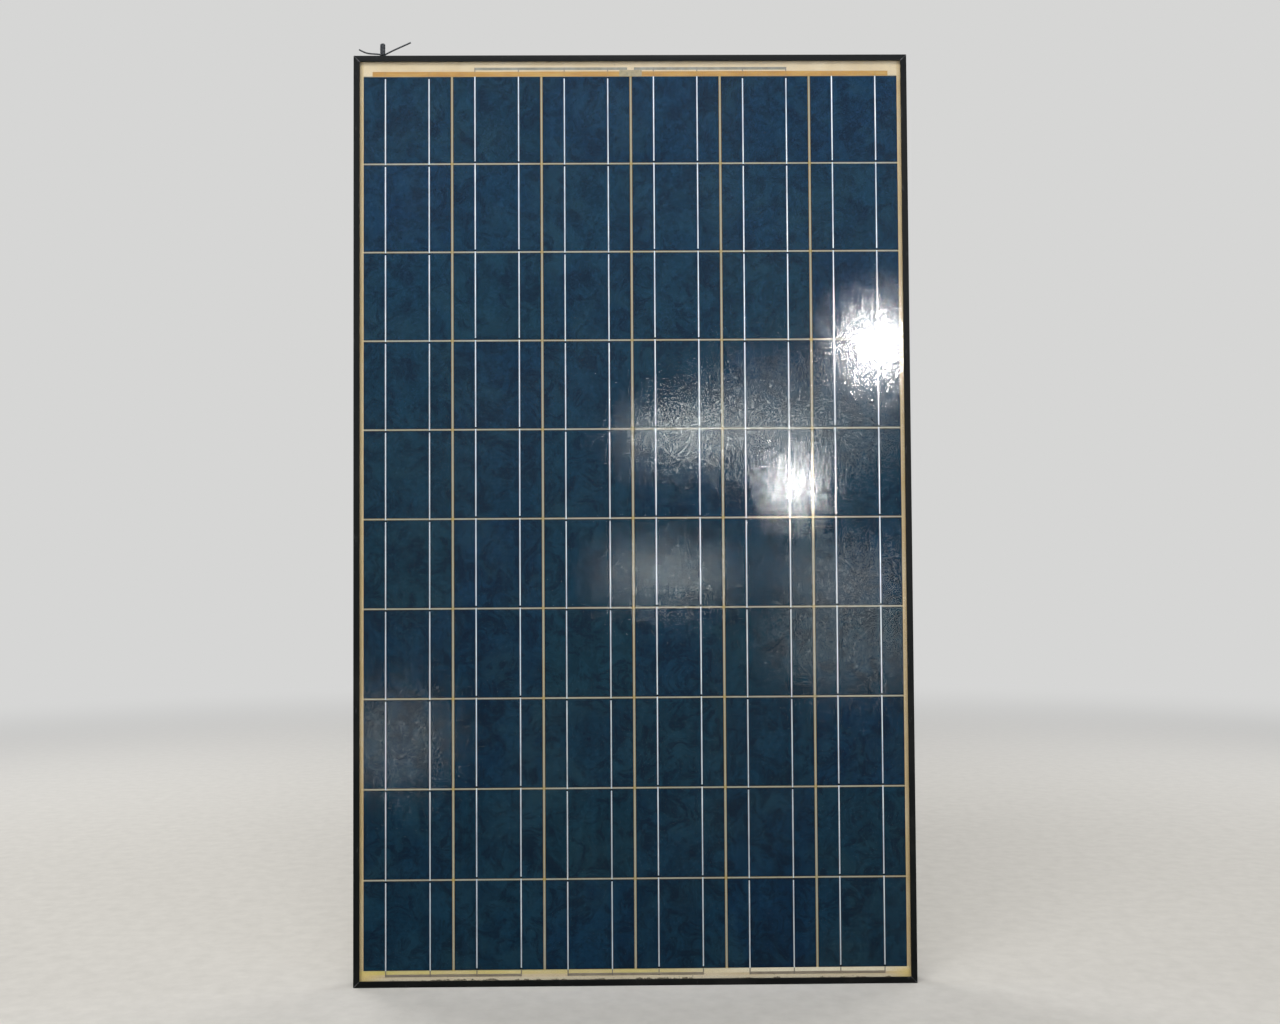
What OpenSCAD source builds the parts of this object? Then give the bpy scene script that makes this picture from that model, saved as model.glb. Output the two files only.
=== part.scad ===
// Framed solar panel: sixty square cells in six strings, sealed between textured glass and a
// backsheet, held in a mitred aluminium frame with a hinged junction box behind the top edge.
// The panel stands upright: X runs to the right seen from the front, the glass faces -Y, +Z is up.
// The origin is the middle of the bottom edge, halfway through the frame's depth.

/* [Panel] */
// Outer width of the frame
panel_w = 990; // [986:1:1000]
// Outer height of the frame
panel_h = 1650; // [1648:1:1670]
// Depth of the frame, from the front lip to the rear flange
panel_d = 40; // [38:1:50]

/* [Frame profile] */
// Wall thickness of the extrusion
wall = 1.8; // [1.5:0.1:2]
// Thickness of the front lip
lip_t = 1.5; // [1.2:0.1:1.8]
// Width of the front lip that laps the glass
lip_w = 11; // [10:0.5:12]
// Width of the hollow chamber behind the groove
chamber_w = 12; // [11:0.5:14]
// Depth of the hollow chamber
chamber_d = 14; // [12:0.5:15]
// Width of the rear flange
flange_w = 30; // [28:1:34]
// Height of the stiffening lip on the edge of the rear flange
flange_lip = 4; // [2:0.5:5]
// Length of a corner key's arm inside the chamber
key_arm = 45; // [30:1:60]

/* [Frame holes] */
// Width of a mounting slot
slot_w = 9; // [7:0.5:9]
// Length of a mounting slot, from end to end
slot_l = 14; // [11:0.5:16]
// Distance from the frame's outer edge to the middle of a slot
slot_inset = 17; // [15:0.5:18]
// Distance between the two outer mounting slots on a side
outer_slots = 1300; // [1200:10:1400]
// Distance between the two inner mounting slots on a side
inner_slots = 860; // [600:10:1000]
// Diameter of an earthing hole
ground_hole = 4.2; // [3.5:0.1:5]
// Distance between the two earthing holes on a side
ground_spacing = 120; // [60:10:200]
// Diameter of a drain hole in the top and bottom frame members
drain_hole = 5; // [4:0.5:6]

/* [Cells] */
// Side of one square cell
cell = 156; // [150:0.5:156]
// Gap between neighbouring strings
string_gap = 4; // [3:0.5:4]
// Gap between neighbouring cells of one string
cell_gap = 2.8; // [2:0.1:2.8]
// Distance from the frame's top edge to the first row of cells
top_margin = 37; // [37:0.5:40]
// Width of a string ribbon
ribbon_w = 2; // [1.5:0.1:2.5]
// Width of a bus ribbon
bus_w = 4.8; // [4:0.1:5]

/* [Laminate] */
// Thickness of the front glass
glass_t = 3.2; // [3:0.1:3.4]
// Thickness of the encapsulant between the glass and the cells
front_eva_t = 0.45; // [0.45:0.05:0.6]
// Thickness of the backsheet
backsheet_t = 0.35; // [0.3:0.05:0.4]
// Thickness of the sealant between the laminate and the frame
seal_t = 0.8; // [0.6:0.1:1]

/* [Junction box] */
// Width of the junction box
box_w = 130; // [124:1:150]
// Height of the junction box
box_h = 110; // [104:1:120]
// Depth of the junction box's base
box_d = 20.55; // [19:0.05:21]
// Distance from the frame's top edge to the top of the junction box
box_top_gap = 56; // [56:1:60]
// Distance from the middle of the box to a cable gland
gland_x = 40; // [38:1:46]
// Diameter of the cable that a gland grips
cable_d = 6.2; // [5.5:0.1:6.4]

/* [Tie] */
// Diameter of the coated wire of the tie
wire_d = 2.2; // [1.6:0.1:2.4]
// Distance from the frame's left edge to the tie
tie_inset = 51.3; // [48:0.1:60]

/* [Hidden] */

strings = 6;
rows = 10;
touch = 0.01;

// Layers of the laminate, as places along Y from the glass to the back
front_y = -panel_d / 2;
lip_back = front_y + lip_t;
glass_front = lip_back + seal_t;
glass_back = glass_front + glass_t;
cell_front = glass_back + front_eva_t;
foil = 0.2;
cell_back = cell_front + foil;
ribbon_front = cell_front - foil;
rear_ribbon_back = cell_back + foil;
tail_back = rear_ribbon_back + foil;
eva_back = tail_back + 0.15;
sheet_back = eva_back + backsheet_t;
ledge_front = sheet_back + seal_t;
chamber_front = ledge_front + lip_t;
chamber_back = chamber_front + chamber_d;
flange_front = panel_d / 2 - wall;

// Edge of the laminate inside the groove
laminate_inset = wall + 1.2;
laminate_w = panel_w - 2 * laminate_inset;
laminate_h = panel_h - 2 * laminate_inset;

// Cell grid
cells_top = panel_h - top_margin;
cells_bottom = cells_top - rows * cell - (rows - 1) * cell_gap;
function string_x(n) = (n - (strings + 1) / 2) * (cell + string_gap);
function cell_top(r) = cells_top - (r - 1) * (cell + cell_gap);
ribbon_offset = cell / 4;
ribbon_start = 3.5;
ribbon_short = 6;

// Bus ribbons at the two ends of the strings
outer_bus_z = cells_top + 14.4;
inner_bus_z = cells_top + 5;
bottom_bus_z = cells_bottom - 9.2;
tail_w = 4;
tail_x = [-24, -8, 8, 24];
strip_z = cells_top + 0.5;
strip_h = 8.9;
strip_w = 924;

// Junction box
box_back = sheet_back + 1;
box_top = panel_h - box_top_gap;
box_bottom = box_top - box_h;
box_rim = box_back + box_d;
box_wall = 2.5;
lid_front = box_rim + 1.4;
lid_t = 3;
hinge_r = 3.2;
hinge_y = lid_front - 0.5;
hinge_z = box_top + 5;
pin_r = 1.25;
knuckle_in = 30;
knuckle_out = 50;
label_x = -230;
label_z = box_top - 60;
label_t = 0.15;
window_w = 66;
window_z = box_top - 17;
window_h = 14;
bar_back = box_back + box_wall + 1.95;
bar_t = 0.8;
fold_z = window_z + 8;
diode_r = 2.7;

// Cable glands, which point down
gland_y = box_back + 10.45;
neck_r = 6.8;
neck_l = 16;
seal_r = 5.2;
seal_l = 7.6;
nut_play = 0.08;
nut_flats = 17;

// A block from its lowest corner to its highest one.
module block(low, high) {
    translate(low)
    cube(high - low);
}

// A plate of the laminate between two places along Y, as large as the laminate.
module laminate_plate(y0, y1) {
    block([-laminate_w / 2, y0, laminate_inset], [laminate_w / 2, y1, panel_h - laminate_inset]);
}

// A flat outline with round corners, centred on the origin.
module round_outline(w, h, r) {
    square([w - 2 * r, h], center = true);
    square([w, h - 2 * r], center = true);
    for (x = [-1, 1], y = [-1, 1])
        translate([x * (w / 2 - r), y * (h / 2 - r)])
        circle(r, $fn = 48);
}

// A plate with round corners in the XZ plane, between two places along Y.
module round_plate(w, h, r, y0, y1, z, x = 0) {
    translate([x, y1, z])
    rotate([90, 0, 0])
    linear_extrude(y1 - y0)
    round_outline(w, h, r);
}

// The extrusion's cross-section: X runs inwards from the outer edge, Y is the panel's depth.
module frame_profile() {
    bevel = 0.5;
    polygon([
        [0, lip_back], [0, front_y + bevel], [bevel, front_y],
        [lip_w - bevel, front_y], [lip_w, front_y + bevel], [lip_w, lip_back]
    ]);
    translate([0, front_y + lip_t - touch])
    square([wall, panel_d - lip_t + touch]);
    difference() {
        translate([0, ledge_front])
        square([chamber_w, chamber_d + 2 * lip_t]);
        translate([wall, chamber_front])
        square([chamber_w - 2 * wall, chamber_d]);
    }
    translate([0, flange_front])
    square([flange_w, wall]);
    translate([flange_w - wall, flange_front - flange_lip])
    square([wall, flange_lip + touch]);
}

// One frame member along Z, with both ends mitred.
module rail(length) {
    intersection() {
        linear_extrude(length)
        frame_profile();
        rotate([90, 0, 0])
        linear_extrude(2 * panel_d, center = true)
        polygon([[0, 0], [flange_w, flange_w], [flange_w, length - flange_w], [0, length]]);
    }
}

// A mounting slot through the rear flange of a member along Z.
module mounting_slot(z) {
    half = (slot_l - slot_w) / 2;
    translate([slot_inset, flange_front - 1, z]) {
        for (side = [-1, 1])
            translate([0, 0, side * half])
            rotate([-90, 0, 0])
            cylinder(h = wall + 2, d = slot_w, $fn = 48);
        translate([-slot_w / 2, 0, -half])
        cube([slot_w, wall + 2, 2 * half]);
    }
}

// A long frame member with its mounting slots and earthing holes.
module side_rail() {
    middle = panel_h / 2;
    difference() {
        rail(panel_h);
        for (spacing = [outer_slots, inner_slots], side = [-1, 1])
            mounting_slot(middle + side * spacing / 2);
        for (side = [-1, 1])
            translate([slot_inset, flange_front - 1, middle + side * ground_spacing / 2])
            rotate([-90, 0, 0])
            cylinder(h = wall + 2, d = ground_hole, $fn = 48);
    }
}

// A short frame member with a pair of drain holes near each end, behind the chamber.
module end_rail() {
    difference() {
        rail(panel_w);
        for (end = [tie_inset, panel_w - tie_inset], side = [-1, 1])
            translate([-1, drain_y, end + side * 6.5])
            rotate([0, 90, 0])
            cylinder(h = wall + 2, d = drain_hole, $fn = 48);
    }
}

module frame_left() {
    color("#26282a")
    translate([-panel_w / 2, 0, 0])
    side_rail();
}

module frame_right() {
    color("#26282a")
    mirror([1, 0, 0])
    translate([-panel_w / 2, 0, 0])
    side_rail();
}

module frame_top() {
    color("#282828")
    translate([-panel_w / 2, 0, panel_h])
    rotate([0, 90, 0])
    end_rail();
}

module frame_bottom() {
    color("#202122")
    translate([panel_w / 2, 0, 0])
    rotate([0, -90, 0])
    end_rail();
}

// One arm of a corner key along X, with barbs that fill the chamber.
module key_arm_shape() {
    slack = 0.3;
    inner = chamber_w - 2 * wall;
    block([wall + slack, chamber_front + slack, wall + slack],
          [key_arm, chamber_back - slack, wall + inner - slack]);
    for (i = [0 : 2])
        translate([key_arm - 26 + i * 9, chamber_front, wall])
        cube([2, chamber_d, inner]);
}

// A corner key for the bottom left corner, both arms.
module corner_key() {
    key_arm_shape();
    mirror([1, 0, -1])
    key_arm_shape();
}

module corner_keys() {
    color("#a9abad")
    for (side = [0, 1], end = [0, 1])
        mirror([side, 0, 0])
        translate([0, 0, end * panel_h])
        mirror([0, 0, end])
        translate([-panel_w / 2, 0, 0])
        corner_key();
}

// A U-shaped ring of sealant that wraps the edge of the laminate inside the groove.
module edge_seal() {
    lap = lip_w - 0.6;
    color("#151515")
    difference() {
        block([-panel_w / 2 + wall, lip_back, wall], [panel_w / 2 - wall, ledge_front, panel_h - wall]);
        laminate_plate(glass_front, sheet_back);
        block([-panel_w / 2 + lap, lip_back - 1, lap],
              [panel_w / 2 - lap, ledge_front + 1, panel_h - lap]);
    }
}

module front_glass() {
    color("#cfe0dd", 0.35)
    laminate_plate(glass_front, glass_back);
}

// Grooves for all the string ribbons between two places along Y.
module ribbon_grooves(y0, y1) {
    for (n = [1 : strings], side = [-1, 1])
        translate([string_x(n) + side * ribbon_offset - ribbon_w / 2, y0, bottom_bus_z - bus_w / 2])
        cube([ribbon_w, y1 - y0, outer_bus_z - bottom_bus_z + bus_w]);
}

module strip_shape() {
    block([-strip_w / 2, ribbon_front - 0.1, strip_z], [strip_w / 2, ribbon_front, strip_z + strip_h]);
}

module serial_label_shape() {
    block([-20, ribbon_front - 0.2, strip_z - 0.2], [20, ribbon_front - 0.1, strip_z + 11]);
}

module front_encapsulant() {
    color("#d9c48a", 0.5)
    difference() {
        laminate_plate(glass_back, cell_front);
        ribbon_grooves(ribbon_front, cell_front + touch);
        strip_shape();
        serial_label_shape();
    }
}

module cell_shapes(n) {
    for (r = [1 : rows])
        translate([string_x(n) - cell / 2, cell_front, cell_top(r) - cell])
        cube([cell, foil, cell]);
}

module cell_string(n) {
    color("#1d3549")
    cell_shapes(n);
}

// A flat ribbon that follows a line of [height, front face along Y] points.
module ribbon(x, width, line) {
    back = [for (i = [len(line) - 1 : -1 : 0]) [line[i][1] + foil, line[i][0]]];
    front = [for (p = line) [p[1], p[0]]];
    translate([x - width / 2, 0, 0])
    rotate([90, 0, 90])
    linear_extrude(width)
    polygon(concat(front, back));
}

// A ribbon from the front of one cell to the back of the next one, above it or below it.
module cell_link(x, r, up) {
    high = cell_top(r);
    low = high - cell;
    jog = 0.4;
    line = up
        ? [[low + ribbon_start, ribbon_front], [high + jog, ribbon_front],
           [high + cell_gap - jog, cell_back], [high + cell_gap + cell - ribbon_short, cell_back]]
        : [[high - ribbon_start, ribbon_front], [low - jog, ribbon_front],
           [low - cell_gap + jog, cell_back], [low - cell_gap - cell + ribbon_short, cell_back]];
    ribbon(x, ribbon_w, line);
}

// The ribbon from the top cell of a string to its bus ribbon.
module top_end(n, x, up) {
    edge = cells_top;
    outer = n > 1 && n < strings;
    reach = outer ? outer_bus_z + bus_w / 2 : inner_bus_z + bus_w / 2;
    layer = outer ? ribbon_front : cell_front;
    from = up ? [edge - cell + ribbon_start, ribbon_front] : [edge - cell + ribbon_short, cell_back];
    ribbon(x, ribbon_w, [from, [edge + 0.05, from[1]], [edge + 0.4, layer], [reach, layer]]);
}

// The ribbon from the bottom cell of a string to its bus ribbon.
module bottom_end(x, up) {
    from = up ? cells_bottom + cell - ribbon_short : cells_bottom + cell - ribbon_start;
    layer = up ? cell_back : ribbon_front;
    ribbon(x, ribbon_w, [[from, layer], [bottom_bus_z - bus_w / 2, layer]]);
}

// All the ribbons of a string. Even strings run up the panel and odd ones run down it.
module string_ribbons(n) {
    up = n % 2 == 0;
    color("#c9cdd0")
    for (side = [-1, 1]) {
        x = string_x(n) + side * ribbon_offset;
        for (r = up ? [2 : rows] : [1 : rows - 1])
            cell_link(x, r, up);
        top_end(n, x, up);
        bottom_end(x, up);
    }
}

// A bus ribbon along X between two places, with its front face at y.
module bus(x0, x1, y, z) {
    block([x0, y, z - bus_w / 2], [x1, y + foil, z + bus_w / 2]);
}

// The tail of a bus ribbon: down behind the cells, through the window and on to its terminal.
module tail(x, top, y) {
    block([x - tail_w / 2, y, top - bus_w], [x + tail_w / 2, tail_back, top]);
    block([x - tail_w / 2, rear_ribbon_back, fold_z], [x + tail_w / 2, tail_back, top]);
    block([x - tail_w / 2, rear_ribbon_back, fold_z - foil], [x + tail_w / 2, bar_back + foil, fold_z]);
    block([x - tail_w / 2, bar_back, fold_z - 12], [x + tail_w / 2, bar_back + foil, fold_z]);
}

// The place of a string's outermost ribbon edge, on its left or its right.
function ribbon_edge(n, side) = string_x(n) + side * (ribbon_offset + ribbon_w / 2);

// The bus ribbon of an end string: it runs behind the strip to its tail.
module top_bus_lead(side) {
    n = side < 0 ? 1 : strings;
    x = side < 0 ? tail_x[0] : tail_x[3];
    ends = [ribbon_edge(n, side), x - side * tail_w / 2];
    color("#9fa19a") {
        bus(min(ends), max(ends), cell_back, inner_bus_z);
        tail(x, inner_bus_z + bus_w / 2, rear_ribbon_back);
    }
}

// The bus ribbon that joins two middle strings and leads to its tail.
module top_bus_link(side) {
    n = side < 0 ? 2 : strings - 1;
    x = side < 0 ? tail_x[1] : tail_x[2];
    ends = [ribbon_edge(n, side), x - side * tail_w / 2];
    color("#9fa19a") {
        bus(min(ends), max(ends), cell_front, outer_bus_z);
        tail(x, outer_bus_z + bus_w / 2, cell_back);
    }
}

// The bus ribbon at the bottom that joins string n to its right-hand neighbour.
module bottom_bus_link(n) {
    color("#8d8780")
    bus(ribbon_edge(n, -1), ribbon_edge(n + 1, 1), cell_front, bottom_bus_z);
}

module insulating_strip() {
    color("#bc9c63")
    strip_shape();
}

module insulator_shape() {
    block([-window_w / 2 + 1, cell_back, fold_z - 8], [window_w / 2 - 1, rear_ribbon_back, cells_top - 1]);
}

module lead_insulator() {
    color("#d8cba4")
    insulator_shape();
}

module serial_label() {
    color("#e6dfce")
    serial_label_shape();
}

// The window in the back of the laminate that the tails come out through.
module window(y0, y1, grow = 0) {
    block([-window_w / 2 - grow, y0, window_z - grow],
          [window_w / 2 + grow, y1, window_z + window_h + grow]);
}

module rear_encapsulant() {
    color("#d3be86")
    difference() {
        laminate_plate(cell_front, eva_back);
        for (n = [1 : strings])
            cell_shapes(n);
        ribbon_grooves(cell_front - touch, rear_ribbon_back);
        insulator_shape();
        window(rear_ribbon_back, eva_back + 1);
        for (side = [-1, 1]) {
            top_bus_lead(side);
            top_bus_link(side);
        }
        for (n = [1 : 2 : strings])
            bottom_bus_link(n);
    }
}

module backsheet() {
    color("#e4dcc4")
    difference() {
        laminate_plate(eva_back, sheet_back);
        window(eva_back - 1, sheet_back + 1);
    }
}

module rating_label() {
    color("#e9e6dc")
    round_plate(110, 70, 3, sheet_back, sheet_back + label_t, label_z, label_x);
}

module junction_box_adhesive() {
    color("#d7d7d2")
    difference() {
        round_plate(box_w - 4, box_h - 4, 6, sheet_back, box_back, (box_top + box_bottom) / 2);
        window(sheet_back - 1, box_back + 1);
    }
}

// A cylinder along X between two places.
module x_cylinder(x0, x1, r, y, z) {
    translate([x0, y, z])
    rotate([0, 90, 0])
    cylinder(h = x1 - x0, r = r, $fn = 48);
}

// A cylinder along Z between two places.
module z_cylinder(x, y, z0, z1, r) {
    translate([x, y, z0])
    cylinder(h = z1 - z0, r = r, $fn = 64);
}

// The base: a tray that opens to the rear, with posts, hinge knuckles and two gland necks.
module junction_box_base() {
    middle = (box_top + box_bottom) / 2;
    color("#17181a")
    difference() {
        union() {
            difference() {
                round_plate(box_w, box_h, 6, box_back, box_rim, middle);
                round_plate(box_w - 2 * box_wall, box_h - 2 * box_wall, 4,
                            box_back + box_wall, box_rim + 1, middle);
            }
            for (x = tail_x, z = [fold_z - 10, fold_z - 46])
                block([x - 3, box_back + box_wall - touch, z - 3], [x + 3, bar_back - bar_t, z + 3]);
            for (side = [-1, 1]) {
                z_cylinder(side * gland_x, gland_y, box_bottom - neck_l, box_bottom + 1, neck_r);
                mirror([side < 0 ? 1 : 0, 0, 0]) {
                    x_cylinder(knuckle_in, knuckle_out, hinge_r, hinge_y, hinge_z);
                    block([knuckle_in, hinge_y - 5.5, box_top - 2], [knuckle_out, box_rim, hinge_z]);
                }
            }
        }
        window(box_back - 1, box_back + box_wall + 1, 1);
        x_cylinder(-knuckle_out - 1, knuckle_out + 1, pin_r, hinge_y, hinge_z);
        for (side = [-1, 1]) {
            z_cylinder(side * gland_x, gland_y, box_bottom - neck_l - 1, box_bottom + box_wall + 1, 4.2);
            z_cylinder(side * gland_x, gland_y, box_bottom - neck_l - 1, box_bottom - neck_l + seal_l, seal_r);
        }
    }
}

// The lid: a plate with an inner rim, a hinge knuckle along the top and two latch tongues below.
module junction_box_lid() {
    middle = (box_top + box_bottom) / 2;
    rim_gap = 0.6;
    rim_w = box_w - 2 * (box_wall + rim_gap);
    rim_h = box_h - 2 * (box_wall + rim_gap);
    knuckle = knuckle_in - 0.4;
    color("#1b1c1e")
    difference() {
        union() {
            round_plate(box_w + 2, box_h + 2, 7, lid_front, lid_front + lid_t, middle);
            difference() {
                round_plate(rim_w, rim_h, 3.4, lid_front - 3, lid_front + touch, middle);
                round_plate(rim_w - 3, rim_h - 3, 2, lid_front - 4, lid_front, middle);
            }
            x_cylinder(-knuckle, knuckle, hinge_r, hinge_y, hinge_z);
            block([-knuckle, lid_front, box_top - 2], [knuckle, hinge_y + hinge_r, hinge_z]);
            for (x = [-14, 14]) {
                block([x - 6, lid_front - 9, box_bottom - 2.7], [x + 6, lid_front + lid_t, box_bottom - 0.8]);
                block([x - 6, lid_front - 9, box_bottom - 4.2], [x + 6, lid_front - 7, box_bottom - 2.6]);
            }
        }
        x_cylinder(-knuckle - 1, knuckle + 1, pin_r + 0.05, hinge_y, hinge_z);
    }
}

module junction_box_gasket() {
    middle = (box_top + box_bottom) / 2;
    color("#55565a")
    difference() {
        round_plate(box_w - 1, box_h - 1, 5.5, box_rim + 0.3, lid_front, middle);
        round_plate(box_w - 5, box_h - 5, 4, box_rim - 1, lid_front + 1, middle);
    }
}

module junction_box_hinge_pin() {
    color("#b9bcbe")
    x_cylinder(-knuckle_out, knuckle_out, pin_r, hinge_y, hinge_z);
}

// Four tinned bars, one for each tail.
module terminal_bars() {
    color("#c4a877")
    for (x = tail_x)
        block([x - 6, bar_back - bar_t, fold_z - 52], [x + 6, bar_back, fold_z - 2]);
}

// Four spring clips that press the tails on to the bars.
module ribbon_clips() {
    color("#c8ccce")
    for (x = tail_x)
        difference() {
            block([x - 5, bar_back, fold_z - 10], [x + 5, bar_back + 3.4, fold_z - 4]);
            block([x - tail_w / 2, bar_back - 1, fold_z - 11], [x + tail_w / 2, bar_back + foil, fold_z - 3]);
            block([x - 3.6, bar_back + 1, fold_z - 11], [x + 3.6, bar_back + 2.6, fold_z - 3]);
        }
}

// A bypass diode between bars i and i + 1: a round body on two bent leads.
module bypass_diode(i) {
    x = (tail_x[i - 1] + tail_x[i]) / 2;
    half = (tail_x[i] - tail_x[i - 1]) / 2 - 1;
    z = fold_z - 24 - 6 * i;
    y = bar_back + diode_r + 0.6;
    color("#2a2a2c") {
        x_cylinder(x - 4, x + 4, diode_r, y, z);
        x_cylinder(x - half, x + half, 0.6, y, z);
        for (side = [-1, 1])
            block([x + side * half - 0.6, bar_back, z - 0.6], [x + side * half + 0.6, y + 0.6, z + 0.6]);
    }
}

module gland_seal(side) {
    low = box_bottom - neck_l;
    color("#3a3a3c")
    difference() {
        z_cylinder(side * gland_x, gland_y, low, low + seal_l, seal_r);
        z_cylinder(side * gland_x, gland_y, low - 1, low + seal_l + 1, cable_d / 2);
    }
}

// A gland nut: hexagonal where a spanner holds it, with a round nose that presses on the seal.
module gland_nut(side) {
    low = box_bottom - neck_l - 3.5;
    color("#1d1e20")
    difference() {
        union() {
            translate([side * gland_x, gland_y, low + 5.5])
            cylinder(h = 11.5, d = nut_flats / cos(30), $fn = 6);
            z_cylinder(side * gland_x, gland_y, low, low + 6, 7.9);
        }
        z_cylinder(side * gland_x, gland_y, low + 3, low + 20, neck_r + nut_play);
        z_cylinder(side * gland_x, gland_y, low - 1, low + 4, 4.4);
    }
}

// The directions of the steps along a line, one for each point.
function directions(line) = [
    for (i = [0 : len(line) - 1])
    let (d = line[min(i + 1, len(line) - 1)] - line[max(i - 1, 0)])
    d / norm(d)
];

// Sideways directions that turn as little as they can from one point to the next.
function sideways(dirs, start, i = 0) =
    i == len(dirs) ? [] :
    let (s = start - (start * dirs[i]) * dirs[i], u = s / norm(s))
    concat([u], sideways(dirs, u, i + 1));

// A round wire along a line of points.
module wire(line, d) {
    sides = 8;
    last = len(line) - 1;
    dirs = directions(line);
    across = sideways(dirs, [0, 1, 0.1]);
    rings = [
        for (i = [0 : last], k = [0 : sides - 1])
        let (a = 360 * k / sides)
        line[i] + d / 2 * (cos(a) * across[i] + sin(a) * cross(dirs[i], across[i]))
    ];
    skin = [
        for (i = [0 : last - 1], k = [0 : sides - 1], half = [0, 1])
        let (a = i * sides + k, b = i * sides + (k + 1) % sides)
        half == 0 ? [a, a + sides, b] : [b, a + sides, b + sides]
    ];
    caps = [[for (k = [0 : sides - 1]) k], [for (k = [sides - 1 : -1 : 0]) last * sides + k]];
    polyhedron(rings, concat(skin, caps));
}

// The tie is one wire. Its left tail runs into an eye that stands up, then the wire goes back
// along the frame as a hairpin through a pair of drain holes, and comes forward to the right tail.
eye_w = 5.6;
eye_h = 18.4;
eye_base = 2.6;
hole_x = 6.5;
drain_y = chamber_back + lip_t + 6.6;
eye_y = front_y + 5;
bend = 1.9;
lay_z = 1.2;
under_z = -6.2;
function eye_side(side, t) = [side * eye_w / 2 * sin(30 + 120 * t) , 0, eye_base + (eye_h - 1) * t];
tie_line = concat(
    [[-42.5, 2, 13.2], [-35, 1.5, 9], [-27, 1, 6], [-15, 0.5, 4.6], [-6, 0, 4.2], [-3.4, 0, 5.2]],
    [for (t = [0.25 : 0.125 : 0.9]) eye_side(-1, t)],
    [[-0.9, 0, eye_base + eye_h - 0.6], [0.9, 0, eye_base + eye_h - 0.6]],
    [for (t = [0.875 : -0.125 : 0.2]) eye_side(1, t)],
    [[3.2, 1, 3.4], [5, 4, 1.8], [hole_x, 10, lay_z]],
    [[hole_x, drain_y - eye_y - 3, lay_z], [hole_x, drain_y - eye_y - 0.6, lay_z - 0.5],
     [hole_x, drain_y - eye_y, lay_z - bend], [hole_x, drain_y - eye_y, under_z + bend],
     [hole_x - bend, drain_y - eye_y, under_z], [bend - hole_x, drain_y - eye_y, under_z],
     [-hole_x, drain_y - eye_y, under_z + bend], [-hole_x, drain_y - eye_y, lay_z - bend],
     [-hole_x, drain_y - eye_y - 0.6, lay_z - 0.5], [-hole_x, drain_y - eye_y - 3, lay_z]],
    [[-hole_x, 10, lay_z], [-5, 5.6, 1.9], [-1.6, 3.4, 3.2], [3, 2.7, 4.4], [6.6, 1.6, 5.4],
     [18, 1, 11], [34, 1.5, 18.6], [50, 2, 26.3]]
);

module twist_tie() {
    color("#3b3d3f")
    translate([-panel_w / 2 + tie_inset, eye_y, panel_h])
    wire(tie_line, wire_d);
}

frame_top();
frame_bottom();
frame_left();
frame_right();
corner_keys();
edge_seal();
front_glass();
front_encapsulant();
cell_string(1);  // cell_string_1
cell_string(2);  // cell_string_2
cell_string(3);  // cell_string_3
cell_string(4);  // cell_string_4
cell_string(5);  // cell_string_5
cell_string(6);  // cell_string_6
string_ribbons(1);  // string_ribbons_1
string_ribbons(2);  // string_ribbons_2
string_ribbons(3);  // string_ribbons_3
string_ribbons(4);  // string_ribbons_4
string_ribbons(5);  // string_ribbons_5
string_ribbons(6);  // string_ribbons_6
top_bus_lead(-1);  // top_bus_lead_left
top_bus_link(-1);  // top_bus_link_left
top_bus_link(1);  // top_bus_link_right
top_bus_lead(1);  // top_bus_lead_right
bottom_bus_link(1);  // bottom_bus_link_left
bottom_bus_link(3);  // bottom_bus_link_middle
bottom_bus_link(5);  // bottom_bus_link_right
insulating_strip();
lead_insulator();
serial_label();
rear_encapsulant();
backsheet();
rating_label();
junction_box_base();
junction_box_adhesive();
junction_box_lid();
junction_box_gasket();
junction_box_hinge_pin();
terminal_bars();
ribbon_clips();
bypass_diode(1);  // bypass_diode_1
bypass_diode(2);  // bypass_diode_2
bypass_diode(3);  // bypass_diode_3
gland_seal(-1);  // gland_seal_left
gland_seal(1);  // gland_seal_right
gland_nut(-1);  // gland_nut_left
gland_nut(1);  // gland_nut_right
twist_tie();
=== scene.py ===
# %% [markdown]
# # A used solar panel, dressed for the camera
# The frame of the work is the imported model: it holds every part at its true size and place, in
# metres, with X to the right, the glass facing -Y and Z up. This lesson dresses it. Parts whose
# plain solid is enough keep it and get a better finish. Parts that show their edges, such as the
# frame members, are built again as finer meshes that stand for the plain ones.

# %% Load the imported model
import math

import bmesh
import bpy
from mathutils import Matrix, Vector


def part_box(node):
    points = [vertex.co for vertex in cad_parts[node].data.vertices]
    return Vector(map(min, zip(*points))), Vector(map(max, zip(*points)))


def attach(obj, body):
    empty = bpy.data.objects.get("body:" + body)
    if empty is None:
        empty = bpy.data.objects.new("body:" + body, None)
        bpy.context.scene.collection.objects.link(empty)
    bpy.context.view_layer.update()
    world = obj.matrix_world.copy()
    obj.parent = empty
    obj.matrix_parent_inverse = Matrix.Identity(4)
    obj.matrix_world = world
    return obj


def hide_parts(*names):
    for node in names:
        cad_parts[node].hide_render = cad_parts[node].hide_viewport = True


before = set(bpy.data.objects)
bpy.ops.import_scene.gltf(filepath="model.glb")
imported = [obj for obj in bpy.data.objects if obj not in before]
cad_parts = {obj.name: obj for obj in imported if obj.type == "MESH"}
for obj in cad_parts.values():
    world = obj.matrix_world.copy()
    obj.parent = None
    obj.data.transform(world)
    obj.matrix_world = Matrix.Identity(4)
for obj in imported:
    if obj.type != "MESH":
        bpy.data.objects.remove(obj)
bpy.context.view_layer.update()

MM = 0.001
PANEL_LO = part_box("frame_left")[0]
PANEL_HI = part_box("frame_right")[1]
PANEL_W = PANEL_HI.x - PANEL_LO.x
PANEL_H = PANEL_HI.z - PANEL_LO.z
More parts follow.
